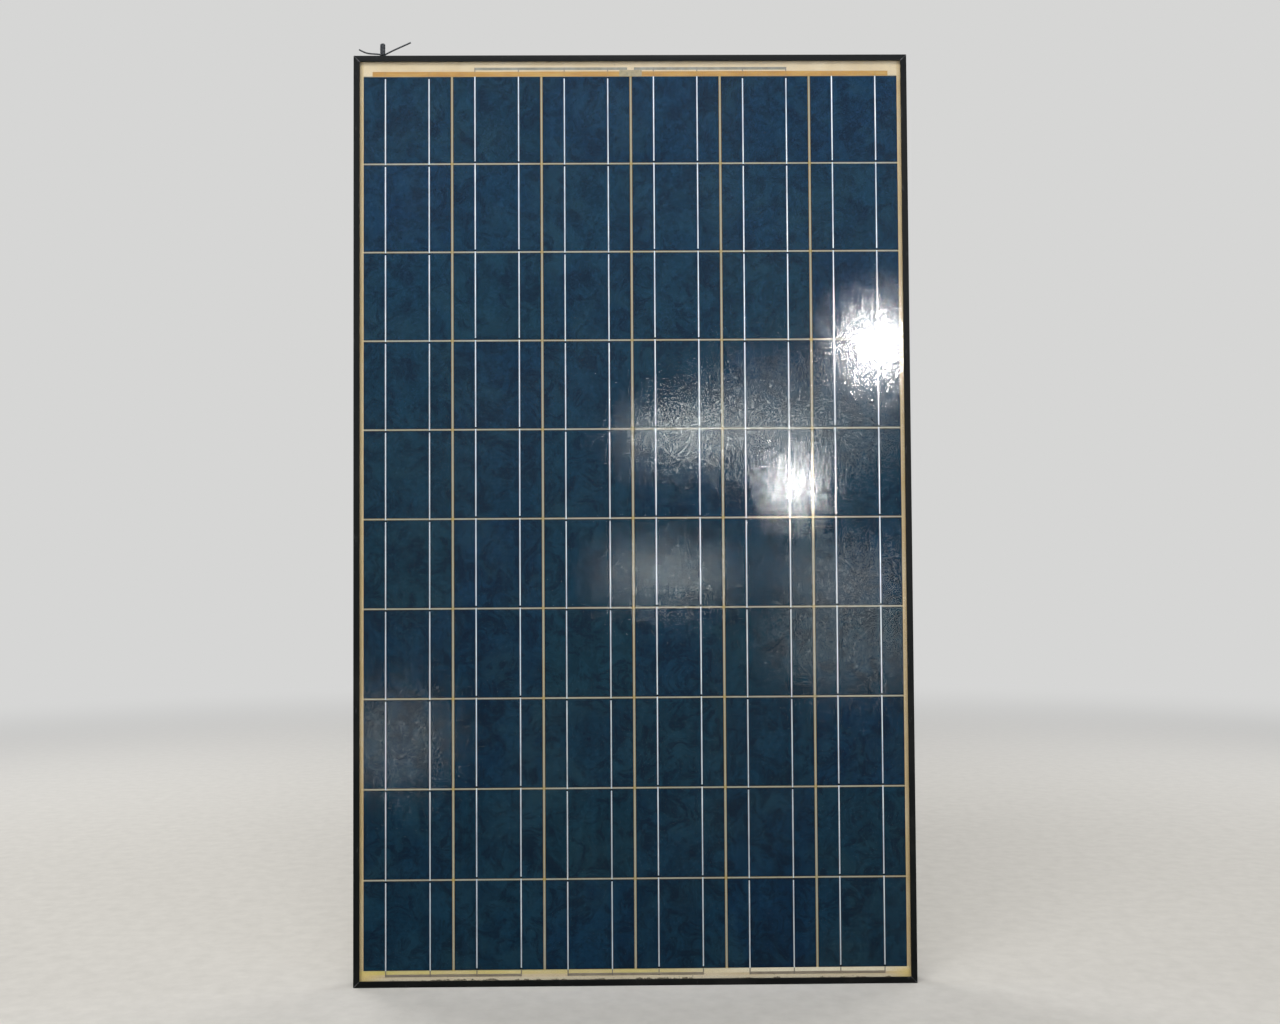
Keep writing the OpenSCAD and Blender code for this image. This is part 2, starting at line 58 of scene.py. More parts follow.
print("panel", round(PANEL_W, 4), "m wide,", round(PANEL_H, 4), "m high")

# %% [markdown]
# ## The camera
# The panel is seen almost square on, from about waist height, with a lens of about 39 mm. The
# camera is set first, by where it stands and how it is turned, because every lamp that glints in
# the glass later is placed from it.

# %% Camera
CAMERA_AT = Vector((-0.0129, -2.5001, 0.7512))
CAMERA_TURN = (91.84, 0.348, -0.569)
LENS_MM = 39.375

camera = bpy.data.objects.new("camera", bpy.data.cameras.new("camera"))
bpy.context.scene.collection.objects.link(camera)
camera.location = CAMERA_AT
camera.rotation_euler = [math.radians(turn) for turn in CAMERA_TURN]
camera.data.lens = LENS_MM
camera.data.clip_start = 0.01
bpy.context.scene.camera = camera
bpy.context.scene.view_settings.view_transform = "Standard"
print("camera stands", round(-CAMERA_AT.y, 2), "m in front")

# %% [markdown]
# ## A short way to write node materials
# A finish is a graph of nodes. Writing each node out by hand hides the idea, so this small class
# adds a node, plugs in what it is given, and hands back its output. A plain number goes on the
# socket itself, and only what changes over the surface is linked. The background of the studio is a
# graph of nodes as well, so the class can also make that.

# %% Node helper
class Finish:
    def __init__(self, name, for_world=False):
        self.owner = (bpy.data.worlds if for_world else bpy.data.materials).new(name)
        self.owner.use_nodes = True
        self.tree = self.owner.node_tree
        self.tree.nodes.clear()
        kind = "ShaderNodeOutputWorld" if for_world else "ShaderNodeOutputMaterial"
        self.output = self.tree.nodes.new(kind)
        self.place = self.add("ShaderNodeTexCoord", out="Generated" if for_world else "Object")
        self.axes = self.add("ShaderNodeSeparateXYZ", {"Vector": self.place}, out=None)

    def add(self, kind, inputs=None, out=0, **settings):
        node = self.tree.nodes.new(kind)
        for key, value in settings.items():
            setattr(node, key, value)
        for key, value in (inputs or {}).items():
            if isinstance(value, bpy.types.NodeSocket):
                self.tree.links.new(value, node.inputs[key])
            else:
                node.inputs[key].default_value = value
        return node if out is None else node.outputs[out]

    def axis(self, name):
        return self.axes.outputs[name]

    def math(self, operation, *values):
        return self.add("ShaderNodeMath", dict(enumerate(values)), operation=operation)

    def near(self, value, middle, half, soft):
        """1 where value is within half of middle, falling to 0 over soft."""
        away = self.math("ABSOLUTE", self.math("SUBTRACT", value, middle))
        return self.add("ShaderNodeMapRange", {0: away, 1: half, 2: half + soft, 3: 1.0, 4: 0.0})

    def noise(self, scale, detail=3.0, rough=0.5, stretch=None, warp=0.0):
        where = self.place
        if stretch:
            where = self.add("ShaderNodeVectorMath", {0: where, 1: stretch}, operation="MULTIPLY")
        return self.add("ShaderNodeTexNoise", {"Vector": where, "Scale": scale, "Detail": detail,
                                               "Roughness": rough, "Distortion": warp})

    def ramp(self, value, *stops):
        """A colour for value, from (place, colour) stops. A colour is a grey level or three numbers."""
        node = self.add("ShaderNodeValToRGB", {0: value}, out=None)
        points = node.color_ramp.elements
        while len(points) < len(stops):
            points.new(0.5)
        for point, (at, colour) in zip(points, stops):
            point.position = at
            point.color = rgba(colour)
        return node.outputs[0]

    def mix(self, share, a, b):
        node = self.add("ShaderNodeMix", {"Factor": share}, out=None, data_type="RGBA")
        for socket, value in ((node.inputs[6], a), (node.inputs[7], b)):
            if isinstance(value, bpy.types.NodeSocket):
                self.tree.links.new(value, socket)
            else:
                socket.default_value = rgba(value)
        return node.outputs[2]

    def bump(self, height, distance, strength):
        return self.add("ShaderNodeBump", {"Height": height, "Distance": distance, "Strength": strength})

    def skin(self, **inputs):
        named = {key.replace("_", " "): value for key, value in inputs.items()}
        return self.add("ShaderNodeBsdfPrincipled", named)

    def done(self, surface):
        self.tree.links.new(surface, self.output.inputs["Surface"])
        return self.owner


def rgba(colour):
    if isinstance(colour, (int, float)):
        return (colour, colour, colour, 1.0)
    return (*colour[:3], 1.0)


def shade(red, green, blue):
    """A linear colour from the 0 to 255 numbers of a screen colour."""
    levels = [value / 255 for value in (red, green, blue)]
    return tuple(v / 12.92 if v <= 0.04045 else ((v + 0.055) / 1.055) ** 2.4 for v in levels)


def dress(obj, material):
    obj.data.materials.clear()
    obj.data.materials.append(material)


print("node helper ready")

# %% [markdown]
# ## Short ways to build meshes
# A few helpers cover most of the metal and plastic here. One puts a mesh into the scene on a body,
# one lofts closed rings into a skin, and one rounds the corners of a cross-section, because no
# extruded or moulded edge is knife sharp. Two more cut holes and ease the edges of plain solids.

# %% Mesh helpers
SHARP_TURN = 35


def add_piece(name, mesh, material, stands_for, body="panel", smooth_angle=SHARP_TURN):
    mesh.set_sharp_from_angle(angle=math.radians(smooth_angle))
    obj = bpy.data.objects.new(name, mesh)
    bpy.context.scene.collection.objects.link(obj)
    dress(obj, material)
    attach(obj, body)
    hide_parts(*stands_for)
    return obj


def mesh_from(bm, name):
    bmesh.ops.recalc_face_normals(bm, faces=bm.faces)
    mesh = bpy.data.meshes.new(name)
    bm.to_mesh(mesh)
    bm.free()
    mesh.shade_smooth()
    return mesh


def loft(bm, rings, closed=False):
    """Skins a list of rings of points. closed joins the last ring back to the first."""
    made = [[bm.verts.new(point) for point in ring] for ring in rings]
    pairs = list(zip(made, made[1:]))
    if closed:
        pairs.append((made[-1], made[0]))
    for low, high in pairs:
        for i in range(len(low)):
            j = (i + 1) % len(low)
            bm.faces.new((low[i], low[j], high[j], high[i]))
    if not closed:
        bm.faces.new(list(reversed(made[0])))
        bm.faces.new(made[-1])


def rounded(points, radius, steps=3):
    """A closed outline with each corner turned into a short curve."""
    curve = []
    for i, corner in enumerate(points):
        corner = Vector(corner)
        ends = []
        for other in (Vector(points[i - 1]), Vector(points[(i + 1) % len(points)])):
            side = other - corner
            ends.append(corner + side.normalized() * min(radius, side.length * 0.45))
        for step in range(steps + 1):
            t = step / steps
            curve.append(ends[0] * (1 - t) ** 2 + corner * 2 * t * (1 - t) + ends[1] * t ** 2)
    return curve


def carve(obj, cutters):
    """Cuts closed meshes out of a piece, with the result written into its mesh."""
    for cutter in cutters:
        cut = obj.modifiers.new("cut", "BOOLEAN")
        cut.operation = "DIFFERENCE"
        cut.solver = "EXACT"
        cut.object = cutter
    bpy.context.view_layer.update()
    ready = obj.evaluated_get(bpy.context.evaluated_depsgraph_get())
    old = obj.data
    obj.data = bpy.data.meshes.new_from_object(ready)
    obj.modifiers.clear()
    bpy.data.meshes.remove(old)
    for cutter in cutters:
        bpy.data.objects.remove(cutter)


def soften(node, width):
    """Rounds the edges of a part that keeps its plain solid."""
    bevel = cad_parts[node].modifiers.new("soft_edges", "BEVEL")
    bevel.width = width
    bevel.segments = 2
    bevel.limit_method = "ANGLE"
    bevel.angle_limit = math.radians(SHARP_TURN)
    bevel.harden_normals = True


print("mesh helpers ready")

# %% [markdown]
# ## Black anodised aluminium
# The frame is extruded, cut at 45 degrees and anodised black. Up close it has fine drawn lines
# along its length, a bloom of pale dust, small scuffs, and a pale line where the two mitred ends
# meet: bare metal with a painted highlight for the cut edges catching light. The lines run along
# each member, so the same finish is made once for each direction.

# %% Frame finish
def anodised(name, along):
    f = Finish(name)
    lines = f.noise(1.0, 4, 0.7, stretch=(3, 2400, 2400) if along == "X" else (2400, 2400, 3))
    dust = f.noise(9, 6, 0.65)
    scuffs = f.ramp(f.noise(160, 3, 0.6, stretch=(1, 1, 0.25)), (0.66, 0.0), (0.74, 1.0))
    black = f.ramp(lines, (0.25, shade(14, 15, 14)), (0.75, shade(23, 24, 22)))
    dusty = f.mix(f.ramp(dust, (0.5, 0.0), (0.9, 0.12)), black, shade(90, 86, 78))
    worn = f.mix(f.math("MULTIPLY", scuffs, 0.25), dusty, shade(96, 98, 100))
    # Painted highlight, partly bare metal: a pale line along each mitre stands for the cut edges catching
    # light.
    side = f.math("SUBTRACT", PANEL_W / 2, f.math("ABSOLUTE", f.axis("X")))
    middle = f.math("ABSOLUTE", f.math("SUBTRACT", f.axis("Z"), PANEL_H / 2))
    end = f.math("SUBTRACT", PANEL_H / 2, middle)
    mitre_metal_and_highlight = f.near(f.math("SUBTRACT", side, end), 0.0, 0.25 * MM, 0.35 * MM)
    patchy = f.math("MULTIPLY", mitre_metal_and_highlight, f.ramp(f.noise(220, 2), (0.35, 0.15), (0.6, 1.0)))
    colour = f.mix(patchy, worn, shade(142, 142, 146))
    normal = f.bump(lines, 0.02 * MM, 0.6)
    skin = f.skin(Base_Color=colour, Roughness=f.ramp(dust, (0.3, 0.4), (0.8, 0.62)),
                  Specular_IOR_Level=0.11, Normal=normal)
    return f.done(skin)


frame_along_x = anodised("anodised_black_x", "X")
frame_along_z = anodised("anodised_black_z", "Z")
print("anodised finishes made")

# %% [markdown]
# ## The frame members
# Each member is one extrusion: a lip over the glass, a groove for the laminate, a hollow chamber
# for the corner keys, and a rear flange with a small stiffening lip. The cross-section is drawn
# once with rounded corners, swept to length, and cut at 45 degrees by letting each point's place
# from the outer edge set how far in its end lies. Slots and holes are then cut through.

# %% Frame cross-section
WALL, LIP_T, LIP_W = 1.8 * MM, 1.5 * MM, 11 * MM
CHAMBER_W, CHAMBER_D = 12 * MM, 14 * MM
FLANGE_W, FLANGE_LIP = 30 * MM, 4 * MM
SEAL_T = 0.8 * MM
FRONT_Y, REAR_Y = PANEL_LO.y, PANEL_HI.y
LIP_BACK = FRONT_Y + LIP_T
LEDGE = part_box("backsheet")[1].y + SEAL_T
CHAMBER_FRONT = LEDGE + LIP_T
CHAMBER_BACK = CHAMBER_FRONT + CHAMBER_D
FLANGE_FRONT = REAR_Y - WALL

outline = rounded([
    (0, FRONT_Y), (LIP_W, FRONT_Y), (LIP_W, LIP_BACK), (WALL, LIP_BACK), (WALL, LEDGE),
    (CHAMBER_W, LEDGE), (CHAMBER_W, CHAMBER_BACK + LIP_T), (WALL, CHAMBER_BACK + LIP_T),
    (WALL, FLANGE_FRONT), (FLANGE_W - WALL, FLANGE_FRONT),
    (FLANGE_W - WALL, FLANGE_FRONT - FLANGE_LIP), (FLANGE_W, FLANGE_FRONT - FLANGE_LIP),
    (FLANGE_W, REAR_Y), (0, REAR_Y),
], 0.45 * MM)
hollow = rounded([
    (WALL, CHAMBER_FRONT), (WALL, CHAMBER_BACK), (CHAMBER_W - WALL, CHAMBER_BACK),
    (CHAMBER_W - WALL, CHAMBER_FRONT),
], 0.4 * MM)
print("cross-section has", len(outline) + len(hollow), "points")

# %% Sweep a member
MITRE_GAP = 0.06 * MM


def member_mesh(name, length, place):
    """A member of that length. place turns (inwards, depth, along) into a point of the panel."""
    bm = bmesh.new()
    ends = ([], [])
    for loop in (outline, hollow):
        near = [bm.verts.new(place(u, v, u + MITRE_GAP)) for u, v in loop]
        far = [bm.verts.new(place(u, v, length - u - MITRE_GAP)) for u, v in loop]
        for i in range(len(loop)):
            j = (i + 1) % len(loop)
            bm.faces.new((near[i], near[j], far[j], far[i]))
        for end, ring in zip(ends, (near, far)):
            end.extend(bm.edges.get((ring[i], ring[i - 1])) for i in range(len(ring)))
    for end in ends:
        bmesh.ops.triangle_fill(bm, edges=end, use_beauty=True)
    return mesh_from(bm, name)


def cutter_from(outline_points, place, depth0, depth1):
    """A closed cutter: an outline swept between two depths."""
    bm = bmesh.new()
    loft(bm, [[place(a, b, depth) for a, b in outline_points] for depth in (depth0, depth1)])
    obj = bpy.data.objects.new("cutter", mesh_from(bm, "cutter"))
    bpy.context.scene.collection.objects.link(obj)
    return obj


def slot_outline(width, length, steps=10):
    """A slot with round ends, or a round hole where width and length are the same."""
    points = []
    for end in (1, -1):
        for step in range(steps + 1):
            turn = math.pi * step / steps
            points.append((end * width / 2 * math.cos(turn),
                           end * ((length - width) / 2 + width / 2 * math.sin(turn))))
    return points


# %% [markdown]
# The long members carry the mounting slots and earthing holes in their rear flange, and the short
# ones carry the drain holes in their outer wall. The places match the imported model's mounts.

# %% Cut and place the four members
SLOT_W, SLOT_L, SLOT_INSET = 9 * MM, 14 * MM, 17 * MM
SLOT_SPACINGS = (1300 * MM, 860 * MM)
EARTH_D, EARTH_SPACING = 4.2 * MM, 120 * MM
DRAIN_D, DRAIN_INSET, DRAIN_STEP = 5 * MM, 51.3 * MM, 6.5 * MM
DRAIN_Y = CHAMBER_BACK + LIP_T + 6.6 * MM


def side_cutters(sign):
    x = sign * (PANEL_W / 2 - SLOT_INSET)
    holes = [(spacing, SLOT_W, SLOT_L) for spacing in SLOT_SPACINGS]
    holes.append((EARTH_SPACING, EARTH_D, EARTH_D))
    return [
        cutter_from(slot_outline(width, length),
                    lambda a, b, d, z=PANEL_H / 2 + end * spacing / 2: (x + a, d, z + b),
                    FLANGE_FRONT - MM, REAR_Y + MM)
        for spacing, width, length in holes for end in (-1, 1)
    ]


def drain_cutters(z0, z1):
    return [
        cutter_from(slot_outline(DRAIN_D, DRAIN_D),
                    lambda a, b, d, x=side * (PANEL_W / 2 - DRAIN_INSET) + step * DRAIN_STEP:
                    (x + a, DRAIN_Y + b, d), z0, z1)
        for side in (-1, 1) for step in (-1, 1)
    ]


MEMBERS = {
    "frame_left": (PANEL_H, lambda u, v, s: (-PANEL_W / 2 + u, v, s), frame_along_z),
    "frame_right": (PANEL_H, lambda u, v, s: (PANEL_W / 2 - u, v, s), frame_along_z),
    "frame_top": (PANEL_W, lambda u, v, s: (-PANEL_W / 2 + s, v, PANEL_H - u), frame_along_x),
    "frame_bottom": (PANEL_W, lambda u, v, s: (-PANEL_W / 2 + s, v, u), frame_along_x),
}
for node, (length, place, finish) in MEMBERS.items():
    piece = add_piece(node + "_extrusion", member_mesh(node, length, place), finish,
                      stands_for=(node,))
    if length == PANEL_H:
        cutters = side_cutters(-1 if node == "frame_left" else 1)
    else:
        edge = PANEL_H if node == "frame_top" else 0.0
        cutters = drain_cutters(edge - 3 * MM, edge + 3 * MM)
    carve(piece, cutters)
    piece.data.set_sharp_from_angle(angle=math.radians(SHARP_TURN))
    print(node, "has", len(piece.data.polygons), "faces")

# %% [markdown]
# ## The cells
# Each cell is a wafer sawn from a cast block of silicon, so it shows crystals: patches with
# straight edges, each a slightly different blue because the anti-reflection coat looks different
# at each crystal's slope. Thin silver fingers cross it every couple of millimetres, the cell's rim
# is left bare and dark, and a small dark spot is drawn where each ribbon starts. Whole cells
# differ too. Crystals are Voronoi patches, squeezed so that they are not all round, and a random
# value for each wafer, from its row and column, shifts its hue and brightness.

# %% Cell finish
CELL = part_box("cell_string_1")[1].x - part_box("cell_string_1")[0].x
COLUMN_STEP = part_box("cell_string_2")[0].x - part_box("cell_string_1")[0].x
FIELD_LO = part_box("cell_string_1")[0]
FIELD_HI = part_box("cell_string_6")[1]
COLUMNS, ROWS = 6, 10
ROW_STEP = (FIELD_HI.z - FIELD_LO.z - CELL) / (ROWS - 1)
COLUMN_GAP, ROW_GAP = COLUMN_STEP - CELL, ROW_STEP - CELL
RIBBON_OFFSET = CELL / 4
FINGER_STEP = 2.3 * MM
RIBBON_SPOT_AT = 1.9 * MM
DARK_RIM = 1.6 * MM


def silicon():
    f = Finish("polycrystalline_silicon")
    over = f.math("SUBTRACT", f.axis("X"), FIELD_LO.x - COLUMN_GAP / 2)
    up = f.math("SUBTRACT", f.axis("Z"), FIELD_LO.z - ROW_GAP / 2)
    column = f.math("FLOOR", f.math("DIVIDE", over, COLUMN_STEP))
    row = f.math("FLOOR", f.math("DIVIDE", up, ROW_STEP))
    wafer = f.add("ShaderNodeCombineXYZ", {"X": column, "Y": row})
    chance = f.add("ShaderNodeTexWhiteNoise", {"Vector": wafer}, out=None, noise_dimensions="3D")
    shift = f.add("ShaderNodeVectorMath", {0: wafer, 1: (0.37, 0.0, 0.53)}, operation="MULTIPLY")
    where = f.add("ShaderNodeVectorMath", {0: f.place, 1: shift}, operation="ADD")
    squeezed = f.add("ShaderNodeVectorMath", {0: where, 1: (1.0, 0.0, 0.6)}, operation="MULTIPLY")
    large = f.add("ShaderNodeTexVoronoi", {"Vector": squeezed, "Scale": 38.0}, out="Color")
    small = f.add("ShaderNodeTexVoronoi", {"Vector": where, "Scale": 150.0}, out="Color")
    level = f.add("ShaderNodeSeparateColor", {"Color": f.mix(0.45, large, small)}, out=None)
    crystal = f.ramp(level.outputs[0], (0.2, shade(3, 36, 59)), (0.5, shade(7, 45, 69)),
                     (0.8, shade(15, 56, 81)))
    hue = f.mix(chance.outputs[0], shade(2, 37, 72), shade(12, 50, 62))
    wafer_blue = f.mix(0.4, crystal, hue)
    cloud = f.noise(9, 6, 0.72, warp=0.8)
    clouded = f.mix(f.ramp(cloud, (0.46, 0.0), (0.66, 0.7)), wafer_blue, shade(25, 58, 74))
    blots = f.ramp(f.noise(26, 6, 0.78, warp=1.2), (0.42, 0.8), (0.53, 0.0))
    blotted = f.mix(blots, clouded, shade(2, 24, 43))
    streaks = f.ramp(f.noise(1.0, 3, 0.6, stretch=(75, 1, 5)), (0.5, 0.0), (0.75, 0.22))
    streaked = f.mix(streaks, blotted, shade(20, 60, 88))
    phase = f.math("FRACT", f.math("DIVIDE", f.axis("Z"), FINGER_STEP))
    finger = f.math("LESS_THAN", phase, 0.05)
    lined = f.mix(f.math("MULTIPLY", finger, 0.16), streaked, shade(120, 132, 142))
    cell_left = f.math("MULTIPLY_ADD", column, COLUMN_STEP, FIELD_LO.x)
    cell_low = f.math("MULTIPLY_ADD", row, ROW_STEP, FIELD_LO.z)
    from_left = f.math("SUBTRACT", f.axis("X"), cell_left)
    from_low = f.math("SUBTRACT", f.axis("Z"), cell_low)
    off_x = f.math("ABSOLUTE", f.math("SUBTRACT", from_left, CELL / 2))
    off_z = f.math("ABSOLUTE", f.math("SUBTRACT", from_low, CELL / 2))
    rim_starts = CELL / 2 - DARK_RIM
    rim = f.add("ShaderNodeMapRange", {0: f.math("MAXIMUM", off_x, off_z), 1: rim_starts,
                                       2: rim_starts + MM, 3: 0.0, 4: 0.75})
    rimmed = f.mix(rim, lined, shade(2, 12, 24))
    # A small dark spot is drawn near the cell edge where each ribbon starts.
    runs_up = f.math("MODULO", f.math("ABSOLUTE", column), 2.0)
    start = f.math("MULTIPLY_ADD", runs_up, RIBBON_SPOT_AT * 2 - CELL, CELL - RIBBON_SPOT_AT)
    dark_spot = f.math("MULTIPLY", f.near(off_x, RIBBON_OFFSET, 1.3 * MM, 0.9 * MM),
                  f.near(from_low, start, 1.6 * MM, MM))
    colour = f.mix(f.math("MULTIPLY", dark_spot, 0.95), rimmed, shade(8, 8, 8))
    skin = f.skin(Base_Color=colour, Roughness=0.5, Specular_IOR_Level=0.1,
                  Normal=f.bump(level.outputs[1], 0.01 * MM, 0.25))
    return f.done(skin)


silicon_finish = silicon()
for n in range(1, COLUMNS + 1):
    dress(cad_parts[f"cell_string_{n}"], silicon_finish)
print("cells", round(CELL, 4), "m square, steps", round(COLUMN_STEP, 4), round(ROW_STEP, 5))

# %% [markdown]
# ## Soldered ribbons
# Two tinned copper ribbons run down each cell, over the front of one and under the next. Molten
# solder leaves them slightly crowned and rippled, which helps them flash. Their pale bluish white is
# partly the solder's own colour and partly a painted reflection. Each one is a strip with seven
# points across, so that the crown is real, and it follows the imported ribbon's steps in height.

# %% Ribbon finish
FIELD_MID = (FIELD_LO.z + FIELD_HI.z) / 2
FIELD_HALF = (FIELD_HI.z - FIELD_LO.z) / 2


def tinned(name, bright, dull, ripple, tail=None):
    f = Finish(name)
    patches = f.noise(60, 4, 0.6, stretch=(1, 1, 0.35))
    colour = f.ramp(patches, (0.3, dull), (0.65, bright))
    if tail is not None:
        off_middle = f.math("ABSOLUTE", f.math("SUBTRACT", f.axis("Z"), FIELD_MID))
        beyond = f.math("SUBTRACT", off_middle, FIELD_HALF)
        outside = f.add("ShaderNodeMapRange", {0: beyond, 1: 0.0, 2: 0.5 * MM, 3: 0.0, 4: 0.85})
        colour = f.mix(outside, colour, tail)
    waves = f.noise(ripple, 2, 0.5)
    skin = f.skin(Base_Color=colour, Metallic=0.3, Roughness=0.36, Normal=f.bump(waves, 0.05 * MM, 0.5))
    return f.done(skin)


# Painted reflection: the ribbons' pale bluish white stands partly for the sky and lamps the solder would
# mirror.
ribbon_with_painted_reflection = tinned("tinned_ribbon_painted_reflection", shade(232, 241, 250), shade(196, 208, 222), 420, shade(112, 98, 78))
# The lower bus is browner with tarnish, and painted lighter than the top one to make up for the dimmer
# light and darker reflections at the bottom.
top_bus_finish = tinned("tinned_top_bus", shade(146, 147, 137), shade(124, 121, 108), 260)
low_bus_painted_lighter = tinned("tinned_low_bus_painted_lighter", shade(166, 156, 142), shade(144, 133, 119), 260)
print("ribbon finishes made")

# %% Ribbon shapes
FOIL = 0.2 * MM
RIBBON_W = 2.0 * MM
CELL_FRONT = FIELD_LO.y
CELL_BACK = CELL_FRONT + FOIL
RIBBON_FRONT = CELL_FRONT - FOIL
RIBBON_START, RIBBON_SHORT, JOG = 3.5 * MM, 6 * MM, 0.4 * MM
ACROSS = 7
CROWN = 0.35


def crowned_strip(bm, x, width, line):
    """A strip along a line of (height, front face) points, thinner at its two edges."""
    rings = []
    for z, y in line:
        front, back = [], []
        for k in range(ACROSS):
            t = 2 * k / (ACROSS - 1) - 1
            thin = CROWN * FOIL * t * t
            front.append((x + t * width / 2, y + thin, z))
            back.append((x + t * width / 2, y + FOIL - thin * 0.3, z))
        rings.append(front + back[::-1])
    loft(bm, rings)


def string_lines(n):
    """The ribbons of string n as lines of (height, front face). Even strings run up the panel."""
    up = n % 2 == 0
    tops = [FIELD_HI.z - row * ROW_STEP for row in range(ROWS)]
    lines = []
    for top in (tops[1:] if up else tops[:-1]):
        low = top - CELL
        if up:
            lines.append([(low + RIBBON_START, RIBBON_FRONT), (top + JOG, RIBBON_FRONT),
                          (top + ROW_GAP - JOG, CELL_BACK),
                          (top + ROW_STEP - RIBBON_SHORT, CELL_BACK)])
        else:
            lines.append([(top - RIBBON_START, RIBBON_FRONT), (low - JOG, RIBBON_FRONT),
                          (low - ROW_GAP + JOG, CELL_BACK),
                          (low - ROW_STEP + RIBBON_SHORT, CELL_BACK)])
    box_lo, box_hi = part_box(f"string_ribbons_{n}")
    first, last = tops[0], tops[-1] - CELL
    layer = RIBBON_FRONT if 1 < n < COLUMNS else CELL_FRONT
    begin, side = (RIBBON_START, RIBBON_FRONT) if up else (RIBBON_SHORT, CELL_BACK)
    lines.append([(first - CELL + begin, side), (first + 0.05 * MM, side), (first + JOG, layer),
                  (box_hi.z, layer)])
    if up:
        lines.append([(last + CELL - RIBBON_SHORT, CELL_BACK), (box_lo.z, CELL_BACK)])
    else:
        lines.append([(last + CELL - RIBBON_START, RIBBON_FRONT), (box_lo.z, RIBBON_FRONT)])
    return lines


for n in range(1, COLUMNS + 1):
    bm = bmesh.new()
    middle = (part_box(f"cell_string_{n}")[0].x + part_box(f"cell_string_{n}")[1].x) / 2
    for side in (-1, 1):
        for line in string_lines(n):
            crowned_strip(bm, middle + side * RIBBON_OFFSET, RIBBON_W, line)
    add_piece(f"soldered_ribbons_{n}", mesh_from(bm, "ribbons"), ribbon_with_painted_reflection,
              stands_for=(f"string_ribbons_{n}",))
print("ribbons on six strings")

# %% [markdown]
# ## What shows behind and between the cells
# The backsheet was white. Years of sun have turned the clear film over it cream, then amber along
# the cells' edges and where gaps cross, and greenish yellow along the bottom. The rear film is
# drawn opaque with all of that in it, as the front shows the two together. The sheet's own back
# keeps its cleaner cream.

# %% Aged film finish
LOW_MARGIN = 24 * MM


def aged_film():
    f = Finish("aged_film_over_backsheet")
    x, z = f.axis("X"), f.axis("Z")
    tone = f.noise(12, 4, 0.6)
    cream = f.ramp(tone, (0.3, shade(204, 186, 154)), (0.7, shade(218, 205, 180)))
    column = f.math("PINGPONG", x, COLUMN_STEP / 2)
    row = f.math("PINGPONG", f.math("SUBTRACT", z, FIELD_LO.z - ROW_GAP / 2), ROW_STEP / 2)
    across = f.near(x, 0.0, FIELD_HI.x - MM, MM)
    along = f.near(z, FIELD_MID, FIELD_HALF + MM, MM)
    in_field = f.math("MULTIPLY", across, along)
    patchy = f.ramp(f.noise(6, 3, 0.6), (0.38, 0.25), (0.62, 1.0))
    stained = f.mix(f.math("MULTIPLY", in_field, 0.6), cream, shade(118, 138, 144))
    high = f.add("ShaderNodeMapRange", {0: z, 1: 0.7, 2: 1.5, 3: 0.25, 4: 0.9})
    golden = f.math("MAXIMUM", high, f.math("MULTIPLY", patchy, 0.8))
    edge = f.math("MULTIPLY", f.near(column, COLUMN_GAP / 2, 0.75 * MM, 0.5 * MM), in_field)
    stained = f.mix(f.math("MULTIPLY", edge, golden), stained, shade(160, 138, 68))
    row_edge = f.math("MULTIPLY", f.near(row, ROW_GAP / 2, 0.4 * MM, 0.4 * MM), in_field)
    row_share = f.math("MULTIPLY", row_edge, f.math("SUBTRACT", 1.0, patchy))
    stained = f.mix(row_share, stained, shade(172, 152, 94))
    crossing = f.math("MULTIPLY", f.near(column, 0.0, 2.2 * MM, 2.5 * MM),
                      f.near(row, 0.0, 2.2 * MM, 3 * MM))
    spots = f.math("MULTIPLY", f.math("MULTIPLY", crossing, in_field), patchy)
    stained = f.mix(f.math("MULTIPLY", spots, 0.8), stained, shade(176, 150, 72))
    from_middle = f.math("ABSOLUTE", x)
    side = f.add("ShaderNodeMapRange", {0: from_middle, 1: FIELD_HI.x - MM, 2: FIELD_HI.x + MM,
                                        3: 0.0, 4: 0.75})
    tan = f.ramp(tone, (0.3, shade(196, 170, 118)), (0.7, shade(206, 188, 150)))
    stained = f.mix(side, stained, tan)
    under = f.near(z, LOW_MARGIN, 2.5 * MM, 2 * MM)
    leftwards = f.ramp(f.noise(5, 2, 0.5), (0.35, 0.25), (0.6, 0.95))
    low = f.math("MULTIPLY", f.math("MULTIPLY", under, leftwards), f.near(x, -0.22, 0.2, 0.25))
    stained = f.mix(low, stained, shade(206, 196, 108))
    pale_low = f.add("ShaderNodeMapRange", {0: z, 1: 17 * MM, 2: 13 * MM, 3: 0.0, 4: 0.6})
    pale_right = f.math("MULTIPLY", f.near(z, LOW_MARGIN, 3 * MM, 2 * MM), f.near(x, 0.32, 0.1, 0.15))
    stained = f.mix(f.math("MAXIMUM", pale_low, pale_right), stained, shade(228, 222, 204))
    corner_x = f.add("ShaderNodeMapRange", {0: from_middle, 1: 0.44, 2: 0.475, 3: 0.0, 4: 1.0})
    corner_z = f.add("ShaderNodeMapRange", {0: z, 1: 32 * MM, 2: 22 * MM, 3: 0.0, 4: 0.8})
    stained = f.mix(f.math("MULTIPLY", corner_x, corner_z), stained, shade(222, 200, 132))
    return f.done(f.skin(Base_Color=stained, Roughness=0.5, Specular_IOR_Level=0.2))


dress(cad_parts["rear_encapsulant"], aged_film())
print("aged film made")

# %% [markdown]
# ## Bus ribbons, the amber strip and the label
# Wider ribbons join the strings at both ends. At the top, the two that cross the others' ends lie
# behind an insulating strip, which has gone amber. The strip is thin and lies over ribbons, so it
# bulges a little at each one. A small blank label sits at the middle, under the glass.

